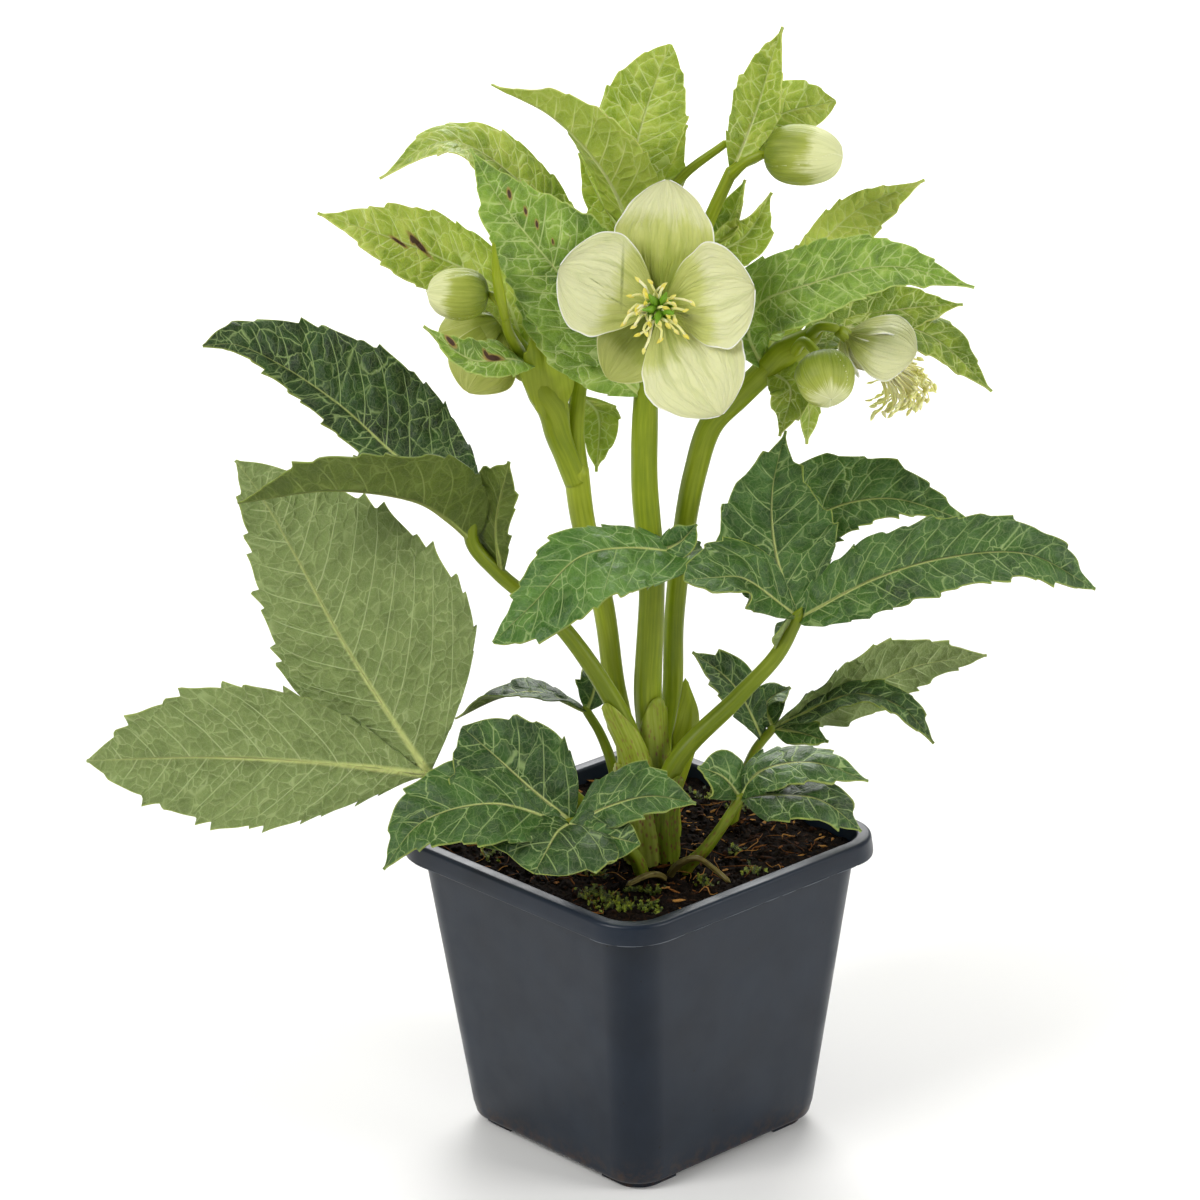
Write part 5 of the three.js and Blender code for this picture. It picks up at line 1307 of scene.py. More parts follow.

# %% [markdown]
# A few bracts are torn or spotted, some are bluer and darker than the rest, their darkness painted shade, and
# one is the pale flap of a sheath.
# Those on the right get tones of their own, lighter or darker: painted light and painted shade.

# %% Scars, and tones of painted light and shade
# each scar: share of the length and of the half width, half length in mm, lean, and how slim it is
SCARS = {
    ("centre", 0): [
        (0.72, 0.35, 2.2, 0.6, 3.4),
        (0.8, 0.4, 2.6, 0.6, 3.4),
        (0.66, 0.3, 2.0, 0.6, 3.4),
        (0.58, 0.28, 1.6, 0.6, 3),
    ],
    ("left", 1): [(0.6, 0.1, 6.5, 0.5, 6), (0.67, -0.05, 4.0, 0.3, 4.5), (0.63, 0.16, 2.4, 1.0, 3)],
    ("left", 2): [(0.45, 0.1, 4.2, 0.2, 3.0), (0.5, 0.3, 2.4, 1.2, 2.4), (0.8, 0.5, 3.0, 0.4, 3.0)],
}
KINDS = {
    ("centre", 0): "cool_shaded_bracts",
    ("centre", 1): "cool_shaded_bracts",
    ("right", 1): "cool_shaded_bracts",
    ("left", 2): "cool_shaded_bracts",
    ("left", 4): "sheath",
}
# 0 is dark and 1 light; the tones here are painted light and shade, and a bract that isn't named here takes
# its tone from its number
BRACT_LIGHT_AND_SHADE = {
    ("right", 0): 1.2,
    ("right", 1): 0.2,
    ("right", 2): -0.5,
    ("right", 3): -0.4,
    ("right", 4): 0.0,
    ("right", 5): 0.0,
}
print("bracts with scars:", len(SCARS))

# %% [markdown]
# A stem and its bracts are one CAD node, but two or more pieces here, since green stalk and thin bract
# are different materials. The seeds keep the three stems from being alike.

# %% Stems
BRACT_FORM = dict(tip=1.25, pitch=7.5, bite=1.2, lateral=8.0, net=4.6, cell=0.91, swell=0.3, buckle=0.8)
KIND_SKINS = {"bracts": bract_skin, "cool_shaded_bracts": cool_shaded_bract_skin, "sheath": flower_stem}
for name, stem in STEMS.items():
    tubes = [stalk(**stem, sides=32, step=1.6, ridges=0.018)]
    for number, fork in enumerate(FORKS[name], start=3):
        tubes.append(stalk(**fork, sides=22, step=1.2, ridges=0.025, seed=number, tone=0.62))
    make_piece(f"stem_{name}_stalks", tubes, flower_stem, [f"stem_{name}"])
    kinds = {kind: [] for kind in KIND_SKINS}
    for number, bract in enumerate(BRACTS[name]):
        key = (name, number)
        looks = {"scars": SCARS.get(key, ()), "tone": BRACT_LIGHT_AND_SHADE.get(key)}
        made = blade(**{**BRACT_FORM, **bract}, **looks, seed=number + 2.3 * stem["seed"])
        kinds[KINDS.get(key, "bracts")].append(made)
    for kind, blades in kinds.items():
        if blades:
            piece_name = f"stem_{name}_{kind}"
            make_piece(piece_name, blades, KIND_SKINS[kind], [f"stem_{name}"], crease=55)

# %% [markdown]
# The basal leaves come up on stalks of their own and part into leaflets: leathery, dark above, paler
# below, with coarse teeth, and buckled between the side veins. Seven leaves stand round the crown.
# Their stalks, the petioles, are made like the stems, from the CAD source's points and radii.

# %% Petiole paths
PETIOLES = {
    "leaf_left_upper": dict(
        path=[[-1, -12, STEM_FOOT], [-1, -13, 150], [-12, -13, 176], [-27, -13, 199], [-48, -14, 219],
            [-57, -14, 231], [-56, -13, 242]],
        radii=[3.5, 3.8, 3.5, 3, 2.7, 2.4],
    ),
    "leaf_right": dict(
        path=[[9, -14.5, STEM_FOOT], [12, -14, 143], [36, -12, 170], [50, -12, 186], [57, -12, 200]],
        radii=[3.5, 3.8, 3.4, 2.9, 2.6],
    ),
    "leaf_left_large": dict(
        path=[[-17, -8, 98], [-17, -10, 122], [-27, -18, 138], [-52, -27, 146], [-74, -30, 150]],
        radii=[3.2, 3, 2.5, 2.2, 2.1],
    ),
    "leaf_back_left": dict(
        path=[[-9, 17, 98], [-8, 15, 128], [-13, 17, 145], [-18, 18, 154]],
        radii=[2.4, 2.1, 1.9, 1.6],
    ),
    "leaf_front_left": dict(
        path=[[2, -24, 98], [-1, -26, 114], [-10, -29, 125], [-24, -33, 132]],
        radii=[2.8, 2.6, 2.2, 1.9],
    ),
    "leaf_front_right": dict(
        path=[[14, -22, 98], [17, -26, 111], [22.5, -29, 118], [29, -29, 127], [36, -28, 138]],
        radii=[2.6, 2.4, 2, 1.7],
    ),
    "leaf_back_right": dict(
        path=[[32, 19, 98], [37, 22, 118], [43, 28, 133], [50, 31, 141]],
        radii=[2.4, 2.1, 1.9, 1.6],
    ),
}
print("petioles:", len(PETIOLES))

# %% [markdown]
# A leaf parts into leaflets near the end of its petiole. They could be cut from one sheet. As blades
# of their own, each with a midrib and a face, they overlap and turn away as on the living plant.

# %% Leaflet shapes
LEAF_BLADES = {
    "leaf_left_upper": [
        dict(rib=[[-56, -13, 241], [-81, -4, 258], [-103, 6, 276], [-124, 13, 289], [-139, 14, 296],
            [-150, 10, 297]],
            half=[9, 27], face=[0.35, -0.75, 0.55], wide=0.38, fold=0.1, base=0.55, tip=0.85),
        # the two folded leaflets take a dark tone: painted shade
        dict(rib=[[-57, -14, 231], [-65, -20, 241], [-76, -30, 252], [-104, -41, 260], [-136, -44, 257]],
            half=[16, 18], face=[0, 0.45, 0.9], wide=0.35, fold=0.8, base=0.45, tip=1.1, tone=-0.1),
        dict(rib=[[-47, -14, 217], [-48, -18, 239], [-43, -24, 263.5]],
            half=[5, 13], face=[0.5, 0.8, 0.3], wide=0.6, fold=0.3, tone=-0.1),
    ],
    "leaf_left_large": [
        dict(rib=[[-74, -30, 150], [-101, -24, 195], [-118, -11, 224], [-131, 1, 244], [-140, 6, 256]],
            half=[45.5, 23], face=[0.1, 0.98, -0.2], wide=0.38, fold=-0.12, cup=0.1, base=0.92, tip=0.95),
        dict(rib=[[-74, -30, 150], [-116, -36, 158], [-152, -35, 160], [-195, -24, 155]],
            half=[25.5, 24], face=[0, 0.98, -0.2], wide=0.53, fold=-0.08, base=1.1, tip=0.95),
    ],
    "leaf_back_left": [
        dict(rib=[[-18, 18, 154], [-35, 20, 161], [-49, 24, 158], [-66, 26, 149]],
            half=[10, 10], face=[0, 0.1, 1], wide=0.5, fold=0.2, wave=2),
        dict(rib=[[-18, 18, 154], [-15, 22, 162], [-17, 32, 168]], half=[6, 6], face=[0, -0.5, 1]),
    ],
    "leaf_front_left": [
        dict(rib=[[-24, -33, 132], [-38, -33, 145], [-50, -30, 156], [-62, -26, 166]],
            half=[27, 20], face=[-0.3, -0.6, 0.75], wide=0.45, base=0.6, tip=0.8),
        dict(rib=[[-26, -34, 132], [-52, -44, 144], [-76, -50, 140], [-90, -54, 124]],
            half=[18, 18], face=[-0.35, -0.55, 0.75], wide=0.45, base=0.7),
        dict(rib=[[-25, -35, 132], [-29, -45, 133], [-33, -54, 129.5], [-37, -61, 124.5]],
            half=[24, 26], face=[0, -0.5, 0.87], wide=0.5, base=0.5, tip=0.7),
        dict(rib=[[-25, -35, 132], [-13, -45, 132], [0, -50, 130]],
            half=[10, 14], face=[0, -0.6, 0.8], base=0.5, tip=0.8),
        dict(rib=[[-23, -34, 132], [-10, -38, 140], [4, -40, 144], [20, -40, 141]],
            half=[15, 9], face=[0.05, -0.5, 0.85], wide=0.48, base=0.6, cup=-0.15),
    ],
    "leaf_front_right": [
        dict(rib=[[36, -28, 138], [43, -31, 149], [60, -33, 153], [81, -34, 146]],
            half=[11, 11], face=[0.1, -0.35, 0.95], wide=0.4, cup=-0.2),
        dict(rib=[[36, -28, 138], [30, -28, 146], [21, -28, 150]],
            half=[9, 9], face=[-0.2, -0.5, 0.8], wide=0.5),
        dict(rib=[[36, -28, 138], [50, -36, 142], [64, -42, 142], [78, -44, 131]],
            half=[12, 12], face=[0.2, -0.45, 0.9], wide=0.45, cup=-0.2),
    ],
    "leaf_right": [
        dict(rib=[[57, -12, 199], [84, -20, 216.5], [109, -26, 226], [136, -28, 227.5], [161, -22, 212]],
            half=[16, 15], face=[0, -0.6, 0.8], wide=0.42, fold=0.12, base=0.5, tip=0.85),
        dict(rib=[[57, -12, 200], [56, 2, 214], [64, 12, 228], [90, 16, 234], [125, 11, 224]],
            half=[21, 12], face=[-0.1, -0.75, 0.65], wide=0.34, fold=0.1, base=0.65, tip=1.6),
        dict(rib=[[57, -12, 200], [50, -3, 221], [49, 2, 242], [54, 7, 263]],
            half=[19, 22], face=[-0.1, -0.85, 0.5], wide=0.42, base=0.7, tip=1.5),
        dict(rib=[[57, -12, 200], [38, -17, 216.5], [28, -24, 219.5], [17, -29, 220.5]],
            half=[12, 15], face=[-0.1, -0.5, 0.85], wide=0.52, base=0.7, tip=0.6),
        dict(rib=[[57, -12, 200], [53, -14, 197], [49, -14, 189]],
            half=[5, 5], face=[-0.6, 0.2, 0.7], fold=0.6),
    ],
    "leaf_back_right": [
        dict(rib=[[50, 31, 141], [71, 38, 147], [86, 42, 153], [104, 44, 160], [129, 42, 164]],
            half=[11, 15], face=[0, 0.95, 0.3], wide=0.5, fold=-0.1, tip=1),
        dict(rib=[[50, 31, 141], [80, 30, 154], [97, 25, 150], [108, 18, 139]],
            half=[9, 9], face=[0.2, -0.2, 1], wide=0.55, fold=0.15),
        dict(rib=[[50, 31, 141], [48, 38, 148], [57, 44, 152]], half=[8, 8], face=[-0.4, -0.5, 0.7]),
        dict(rib=[[50, 31, 141], [60, 28, 140], [70, 24, 138]], half=[6, 6], face=[0.1, -0.6, 0.7]),
        dict(rib=[[46, 29, 137], [40, 34, 150], [34, 37, 158], [21, 40, 168]],
            half=[9, 9], face=[0.5, -0.7, 0.5], wide=0.5, fold=0.2),
    ],
}
print("leaflets:", {name: len(shapes) for name, shapes in LEAF_BLADES.items()})

# %% [markdown]
# One dark leaf grows on a stem. Leaves also differ in their veins: lateral is the distance between
# side veins and net the width of a mesh, in millimetres. The large leaf on the left has the finest net
# and the coarsest teeth. Where nothing is given, the values of the blade function hold.

# %% Low leaf and veins
STEM_LEAF = [
    dict(rib=[[15, 4.6, 217], [13, -9, 224], [-4, -18, 229], [-20, -28, 229], [-36, -36, 215],
        [-50, -38, 202]],
        half=[24, 11], face=[-0.2, -0.55, 0.8], wide=0.55, base=0.9, tip=0.75),
    dict(rib=[[8, -9, 224], [16, -10, 228], [22, -8, 234]], half=[6, 6], face=[0.1, -0.7, 0.7]),
]
LEAF_VEINS = {
    "leaf_left_large": dict(lateral=13.0, net=4.0, ribbed=2.0, pitch=10.0, bite=3.2, tone=0.65),
    "leaf_left_upper": dict(lateral=11.0, net=5.6),
    "leaf_back_right": dict(lateral=11.0, net=5.6),
    # the right leaf's light tone is painted light, for the sheen on it
    "leaf_right": dict(tone=1.0, lateral=11.0, net=6.4),
}
print("leaves with veins of their own:", ", ".join(LEAF_VEINS))

# %% [markdown]
# Two leaflets at the upper left have folded over and show their lower side, which lies in shade. They
# are a piece of their own with another skin, yellower and darker, its darkness painted shade. The low
# leaf on the stem is young: its green is fresher.

# %% Basal leaves
FOLDED = {("leaf_left_upper", 1), ("leaf_left_upper", 2)}
LEAF_CELL = 1.1
for order, (name, shapes) in enumerate(LEAF_BLADES.items()):
    petiole = stalk(**PETIOLES[name], sides=28, step=1.6, ridges=0.03, seed=order, tone=0.4)
    make_piece(f"{name}_petiole", [petiole], petiole_skin, [name])
    kinds = {"blades": [], "folds": []}
    for number, shape in enumerate(shapes):
        made = blade(**shape, **LEAF_VEINS.get(name, {}), cell=LEAF_CELL, seed=3.1 * order + number)
        kinds["folds" if (name, number) in FOLDED else "blades"].append(made)
    for kind, skin in (("blades", leaf_skin), ("folds", shaded_folded_leaf_skin)):
        if kinds[kind]:
            make_piece(f"{name}_{kind}", kinds[kind], skin, [name], crease=55)
low_leaf = [blade(**shape, seed=40 + number, cell=0.95) for number, shape in enumerate(STEM_LEAF)]
make_piece("leaf_stem_low_blades", low_leaf, fresh_leaf_skin, ["leaf_stem_low"], crease=55)

# %% [markdown]
# Each stalk that the crown carries stands in a papery sheath with one tongue-shaped tip. It could be
# sculpted or draped as cloth. Here it is a sheet of rows and columns wrapped round the stalk's own
# path, with a flare at its free edge, so that it fits the stalk all the way up.

# %% Sheaths
SHEATH_THICKNESS = 0.45


def sheath(path, radii, heading, seed, low=0.55, columns=44, rows=26):
    """A thin sheet wrapped round a path, whose top edge is one tongue towards heading."""
    line, along, length = smooth_path(path, 60)
    share = np.linspace(0, 1, rows + 1)[:, None]
    angle = np.linspace(-np.pi, np.pi, columns + 1)[None, :]
    tongue = low + (1 - low) * np.cos(angle / 2) ** 2.2
    t = share * tongue
    even = np.linspace(0, 1, len(line))
    centre = np.stack([np.interp(t, even, line[:, axis]) for axis in range(3)], -1)
    ahead = np.stack([np.interp(t, even, along[:, axis]) for axis in range(3)], -1)
    first = unit([math.cos(heading), math.sin(heading), 0])
    side = unit(first - ahead * (first * ahead).sum(-1, keepdims=True))
    across = np.cross(ahead, side)
    radius = np.interp(t, np.linspace(0, 1, len(radii)), radii)
    radius = radius * (1 + 0.05 * np.sin(7 * angle + seed) + 0.03 * np.sin(17 * angle - seed))
    radius = radius + 0.5 * share**6 - 0.25 * np.abs(angle / np.pi) ** 8
    radial = side * np.cos(angle)[..., None] + across * np.sin(angle)[..., None]
    outer = centre + radial * radius[..., None]
    inner = centre + radial * (radius - SHEATH_THICKNESS)[..., None]
    place = np.stack([angle * 6 + 0 * t, t * length, (1 - share) * tongue * length], -1).reshape(-1, 3)
    return {
        "points": np.vstack([outer.reshape(-1, 3), inner.reshape(-1, 3)]),
        "quads": sheet_faces(t.shape),
        "place": np.vstack([place, place]),
        "share": np.tile(t.ravel(), 2),
        "tone": np.full(2 * t.size, (0.41 * seed) % 1),
    }


# each stalk in a sheath, the share of it that the sheath covers, and where the tongue points
SHEATHED = [
    (STEMS["centre"], 0.28, -1.0),
    (STEMS["left"], 0.24, -2.4),
    (STEMS["right"], 0.19, -0.5),
    (PETIOLES["leaf_left_upper"], 0.44, -2.0),
    (PETIOLES["leaf_right"], 0.35, -1.0),
]
SHEATH_FOOT = 98
front_path = [(3, -11, SHEATH_FOOT), (3, -12.5, 106), (2.5, -12.5, 118), (1, -12, 131)]
sheaths = [sheath(front_path, [6.5, 8.0, 7.6, 6.2], heading=-1.3, seed=7, low=0.62)]
for seed, (carried, covered, heading) in enumerate(SHEATHED, start=1):
    line = smooth_path(carried["path"], 100)[0]
    x, y = carried["path"][0][:2]
    path = [(x, y, SHEATH_FOOT), *(line[int(100 * part * covered)] for part in (0.2, 0.6, 1))]
    radii = [carried["radii"][0] + grow for grow in (0.8, 1.9, 1.3)] + [carried["radii"][1] + 0.8]
    sheaths.append(sheath(path, radii, heading, seed))
make_piece("crown_sheaths", sheaths, papery_sheath, ["crown"])

# %% [markdown]
# The crown itself is the head of the rhizome, brown and knobbly in the soil. A plump leaf bud stands
# between the stalks, and two withered stalks have sunk onto the peat. All are stalks with other radii,
# because that function already gives ridges and swellings.

# %% Crown
bud_path = [(13, -2, 130), (16.5, -3, 148), (18, -4, 160), (17.5, -4, 173)]
bud_shape = dict(sides=30, step=1.2, squash=0.7, ridges=0.08, seed=2, tone=0.7)
crown_bud = stalk(bud_path, [2.4, 3.4, 5, 3.6, 0.9], **bud_shape)
make_piece("crown_bud", [crown_bud], flower_stem, ["crown"])
core_radii = [8.5, 10.5, 10.5, 6.5]
core = stalk([(4, -3, 97), (4, -3, 115)], core_radii, sides=48, step=0.9, ridges=0.12, seed=5, tone=0.3)
make_piece("crown_rhizome", [core], withered_skin, ["crown"])
OLD_STALKS = [
    dict(path=[[9, -28, 99], [12, -31, 112], [20, -35, 118], [27, -37, 114], [31, -40, 111.5]],
        radii=[1.5, 1.3, 1.1, 0.9]),
    dict(path=[[9, -28, 100], [8, -33, 110], [3, -39, 113.5], [-4, -43, 112]], radii=[1.4, 1.2, 0.9]),
]
old_shape = dict(sides=16, step=0.8, ridges=0.2, tone=0.6)
old_stalks = [stalk(**one, **old_shape, seed=number) for number, one in enumerate(OLD_STALKS)]
make_piece("withered_stalks", old_stalks, withered_skin, ["old_stalks"])

# %% [markdown]
# A hellebore's showy parts are sepals. Each is a blade without teeth, laid out in the bloom's own
# frame: x to its right, y up its face and z out of it. So one list of turns, lengths and half widths
# describes a bloom whichever way it faces. A sepal modelled once and copied would look too regular.

# %% Sepals
BLOOMS = {
    "bloom_main": dict(
        centre=[10, -24, 317.5], facing=[-0.06, -0.94, 0.32], knob=4.6, seat=2, greener=(4,),
        shared=dict(),
        sepals=[
            dict(turn=87, long=44, half=17, rise=0.02, layer=-0.8, wide=0.5, tone=-0.3),
            dict(turn=158, long=37, half=18.5, rise=0.14, layer=0.5, wide=0.62, tone=0.5,
                scars=[(0.42, 0.32, 10.5, 1.19, 18), (0.4, -0.2, 5, 0.3, 16), (0.62, 0.0, 4, 0.2, 16)]),
            dict(turn=12, long=33, half=18.5, rise=0.16, layer=0.8, wide=0.62, tone=0.4),
            dict(turn=-60, long=42, half=18.5, rise=0.1, layer=-0.3, tone=0.8),
            # the low sepal: the greener skin and a dark tone, painted shade
            dict(turn=-128, long=30, half=12, rise=-0.3, layer=-1.6, tone=0.0),
        ],
    ),
    "bloom_half_open": dict(
        centre=[73, -4, 302], facing=[0.72, 0.3, -0.62], knob=1.5, seat=5, greener=(),
        # the light tone is painted light, for a bloom that hangs in the shade of the bracts
        shared=dict(hook=0.42, cup=0.2, wide=0.6, tone=0.75),
        sepals=[
            dict(turn=150, long=29, half=13.5, rise=0.7, layer=0.8),
            dict(turn=78, long=22, half=10, rise=0.9, layer=0.4),
            dict(turn=12, long=17, half=8, rise=1, layer=0),
            dict(turn=294, long=17, half=8, rise=1, layer=0.4),
            dict(turn=222, long=14, half=7, rise=1, layer=0),
        ],
    ),
    "bloom_nodding": dict(
        centre=[-42, 5, 307], facing=[-0.35, 0.5, -0.75], knob=1.5, seat=3, greener=(0, 1, 2, 3, 4),
        shared=dict(half=12.5, rise=0.5, hook=0.15, cup=0.2, wide=0.6),
        sepals=[
            dict(turn=20, long=26, layer=0.0),
            dict(turn=92, long=26, layer=0.4),
            dict(turn=164, long=26, layer=0.8),
            dict(turn=236, long=26, layer=0.0),
            dict(turn=322, long=31, layer=0.4),
        ],
    ),
}
SEPAL_FORM = dict(base=0.9, tip=0.62, fold=0.02, wave=0.8, neck=2.4, bite=0, cell=0.8, swell=0, buckle=0.9,
    fan=True, ribbed=0.25)


def bloom_frame(bloom):
    """The bloom's three axes as rows, and its centre."""
    out = unit(bloom["facing"])
    right = unit(np.cross([0, 0, 1], out))
    return np.array([right, np.cross(out, right), out]), np.array(bloom["centre"], float)


def sepal(axes, centre, turn, long, half, rise, hook=0.0, layer=0.0, cup=0.12, wide=0.56, seed=1,
          tone=0.4, scars=()):
    """One sepal as a blade in the bloom's frame."""
    c, s = math.cos(math.radians(turn)), math.sin(math.radians(turn))
    rib = []
    for share in (0.03, 0.33, 0.67, 1):
        out = long * (share - hook * share * share)
        up = layer + long * rise * share * (1.25 - 0.25 * share)
        rib.append(centre + np.array([out * c, out * s, up]) @ axes)
    face = np.array([-rise * c, -rise * s, 1.0]) @ axes
    return blade(rib, [half, half], face, **SEPAL_FORM, wide=wide, cup=cup, seed=seed, tone=tone, scars=scars)


print("sepals:", {name: len(bloom["sepals"]) for name, bloom in BLOOMS.items()})

# %% [markdown]
# Sepals are cream-green, greener towards the middle, with fine veins that run fanwise to a nearly
# white margin. Their tissue is thin and full of water, with an IOR of 1.4, and light goes deep into it.
# Streaks and wrinkles are noise that is drawn out along the veins.

# %% Sepal tissue


def sepal_tissue(name, run, rim, streak, folds=0.5, streaks=0.75):
    """Sepal skin: a run of colour from base to tip, fanned wrinkles and streaks, and a pale margin."""
    material, tree, shader = new_material(
        name, IOR=1.4, Subsurface_Weight=0.3, Subsurface_Radius=(1.0, 1.0, 0.5), Subsurface_Scale=0.0015
    )
    names = ("place", "web", "share", "tone", "hurt")
    read = {key: add(tree, "Attribute", attribute_name=key).outputs for key in names}
    web, share, tone = read["web"]["Vector"], read["share"]["Fac"], read["tone"]["Fac"]
    margin = add(tree, "SeparateXYZ", {0: read["place"]["Vector"]}).outputs[2]
    flat = {0: read["place"]["Vector"], 1: (1.0, 1.0, 0.0)}
    flat = add(tree, "VectorMath", flat, operation="MULTIPLY").outputs[0]
    patch = add(tree, "TexNoise", {"Vector": flat, "Scale": 1 / 9, "Detail": 5.0}).outputs["Fac"]
    bent = add(tree, "TexNoise", {"Vector": web, "Scale": 0.9, "Detail": 3.0}).outputs["Color"]
    web = {0: bent, 1: (1.1, 0.6, 0.0), 2: web}
    web = add(tree, "VectorMath", web, operation="MULTIPLY_ADD").outputs[0]
    fan = add(tree, "VectorMath", {0: web, 1: (1.0, 0.32, 1.0)}, operation="MULTIPLY").outputs[0]
    broad = add(tree, "TexNoise", {"Vector": fan, "Scale": 0.9, "Detail": 3.0}).outputs["Fac"]
    fine = {"Vector": fan, "Scale": 3.2, "Detail": 5.0, "Roughness": 0.6}
    fine = add(tree, "TexNoise", fine).outputs["Fac"]
    level = add(tree, "Math", {0: patch, 1: 0.35, 2: share}, operation="MULTIPLY_ADD").outputs[0]
    level = add(tree, "Math", {0: fine, 1: 0.3, 2: level}, operation="MULTIPLY_ADD").outputs[0]
    level = add(tree, "Math", {0: tone, 1: 0.3, 2: level}, operation="MULTIPLY_ADD").outputs[0]
    colour = add(tree, "ValToRGB", {0: level}, stops=run).outputs[0]
    green = add(tree, "MapRange", {0: broad, 1: 0.52, 2: 0.68, 3: 0.0, 4: streaks}).outputs[0]
    inward = add(tree, "MapRange", {0: share, 1: 0.25, 2: 0.85, 3: 1.0, 4: 0.2}).outputs[0]
    green = add(tree, "Math", {0: green, 1: inward}, operation="MULTIPLY").outputs[0]
    streaked = add(tree, "Mix", {0: green, 6: colour, 7: streak}, data_type="RGBA").outputs[2]
    cells = add(tree, "TexVoronoi", {"Vector": fan, "Scale": 1.1}, feature="DISTANCE_TO_EDGE")
    edge = cells.outputs["Distance"]
    lines = add(tree, "MapRange", {0: edge, 1: 0.0, 2: 0.05, 3: 0.16, 4: 0.0}).outputs[0]
    veined = add(tree, "Mix", {0: lines, 6: streaked, 7: streak}, data_type="RGBA").outputs[2]
    border = {0: margin, 1: 0.1, 2: 0.55, 3: 0.95, 4: 0.0}
    border = add(tree, "MapRange", border, interpolation_type="SMOOTHSTEP").outputs[0]
    outward = add(tree, "MapRange", {0: share, 1: 0.2, 2: 0.45}).outputs[0]
    border = add(tree, "Math", {0: border, 1: outward}, operation="MULTIPLY").outputs[0]
    rimmed = add(tree, "Mix", {0: border, 6: veined, 7: rim}, data_type="RGBA").outputs[2]
    scar = add(tree, "MapRange", {0: read["hurt"]["Fac"], 1: 0.4, 2: 1.3, 3: 0.7, 4: 0.0}).outputs[0]
    scarred = add(tree, "Mix", {0: scar, 6: rimmed, 7: "#79843a"}, data_type="RGBA").outputs[2]
    tree.links.new(scarred, shader.inputs["Base Color"])
    silk = add(tree, "MapRange", {0: patch, 1: 0.3, 2: 0.7, 3: 0.4, 4: 0.55}).outputs[0]
    tree.links.new(silk, shader.inputs["Roughness"])
    relief = add(tree, "Math", {0: broad, 1: 2.2, 2: fine}, operation="MULTIPLY_ADD").outputs[0]
    bump = add(tree, "Bump", {"Height": relief, "Strength": folds, "Distance": 0.0011}).outputs[0]
    tree.links.new(bump, shader.inputs["Normal"])
    return material


sepal_skin = sepal_tissue(
    "hellebore_sepal_skin", [(0.3, "#839126"), (0.55, "#aab34a"), (0.85, "#c8cd78"), (1.25, "#e1e2ae")],
    rim="#fbfaec", streak="#8b9b33", folds=0.85,
)
# a greener, darker skin: the green backs of sepals, and painted shade on the main bloom's low sepal
green_and_shaded_sepal_skin = sepal_tissue(
    "green_and_shaded_sepal_skin", [(0.3, "#56660f"), (0.6, "#7d8c24"), (0.9, "#9ba546"), (1.2, "#b0b660")],
    rim="#cfd196", streak="#728120",
)
# dark green at the foot to pale at the nose: partly the bud's own colour, partly painted shade low down and
# painted highlight at the nose
bud_skin = sepal_tissue(
    "hellebore_bud_skin", [(0.47, "#485a05"), (0.68, "#78881a"), (0.9, "#a9b24b"), (1.22, "#e1e4a8")],
    rim="#eef0c8", streak="#7e8f26", folds=0.4, streaks=0.4,
)
print("sepal tissues:", sepal_skin.name, green_and_shaded_sepal_skin.name, bud_skin.name)

# %% [markdown]
# The blooms are put together from their sepals. Those seen from behind are greener, and the one low
# down on the main bloom takes the same greener skin as painted shade; they have a skin of their own.
# Each bloom sits on a short knob, the thickened end of its stalk.

# %% Blooms
for name, bloom in BLOOMS.items():
    axes, centre = bloom_frame(bloom)
    kinds = {"sepals": [], "green_and_shaded_sepals": []}
    for number, one in enumerate(bloom["sepals"]):
        made = sepal(axes, centre, **one, **bloom["shared"], seed=number + 1.7)
        kinds["green_and_shaded_sepals" if number in bloom["greener"] else "sepals"].append(made)
    for kind, skin in (("sepals", sepal_skin), ("green_and_shaded_sepals", green_and_shaded_sepal_skin)):
        if kinds[kind]:
            make_piece(f"{name}_{kind}", kinds[kind], skin, [name], crease=55)
    seat_path = [centre + np.array([0, 0, z]) @ axes for z in (-bloom["knob"], 0, bloom["seat"])]
    knob = stalk(seat_path, [2.2, 2.4, 2.7], sides=24, step=0.8, ridges=0.04, seed=2, tone=0.7)
    make_piece(f"{name}_knob", [knob], flower_stem, [name])

# %% [markdown]
# In the heart stand green carpels, a ring of short horn-shaped nectaries and dozens of stamens: thin
# cream threads that spread and sag, each with a two-lobed anther. Hair strands could do for threads,
# but they aren't a mesh. The stamens are laid out by the golden angle, the way a plant packs them,
# with a small random turn and length for each.

# %% Stamens
GOLDEN_ANGLE = 137.5
HEARTS = {
    "bloom_main": dict(count=30, spread=13.5, long=8, droop=2.8, anther=0.85, thick=0.66, curl=1.5,
        shift=-1.5),
    "bloom_half_open": dict(count=110, spread=13.5, long=35, droop=5.0, anther=0.9, thick=0.45, curl=0.8,
        shift=0.0),
    "bloom_nodding": dict(count=36, spread=8, long=9, droop=0.0, anther=0.9, thick=0.35, curl=0.5, shift=0.0),
}
dice = np.random.default_rng(11)


def thread_points(number, foot, heart):
    """Four points along one filament in the bloom's frame."""
    angle = math.radians(GOLDEN_ANGLE * number) + dice.normal(0, 0.12)
    share = 0.3 + 0.7 * number / heart["count"]
    reach = heart["spread"] * share * dice.uniform(0.85, 1.08)
    long = heart["long"] * dice.uniform(0.88, 1.06)
    c, s, droop = math.cos(angle), math.sin(angle), heart["droop"]
    points = np.array([
        (1.3 * c, 1.3 * s, foot + 0.6),
        (0.35 * reach * c, 0.35 * reach * s, foot + 0.5 * long),
        (0.75 * reach * c, 0.75 * reach * s - 0.3 * droop * share, foot + 0.95 * long * (1.2 - 0.4 * share)),
        (reach * c, reach * s - droop * share, foot + long * (1.2 - 0.5 * share)),
    ])
    points[1:, :2] += dice.normal(0, 0.5 * heart["curl"], (3, 2)) + [heart["shift"], 0]
    return points


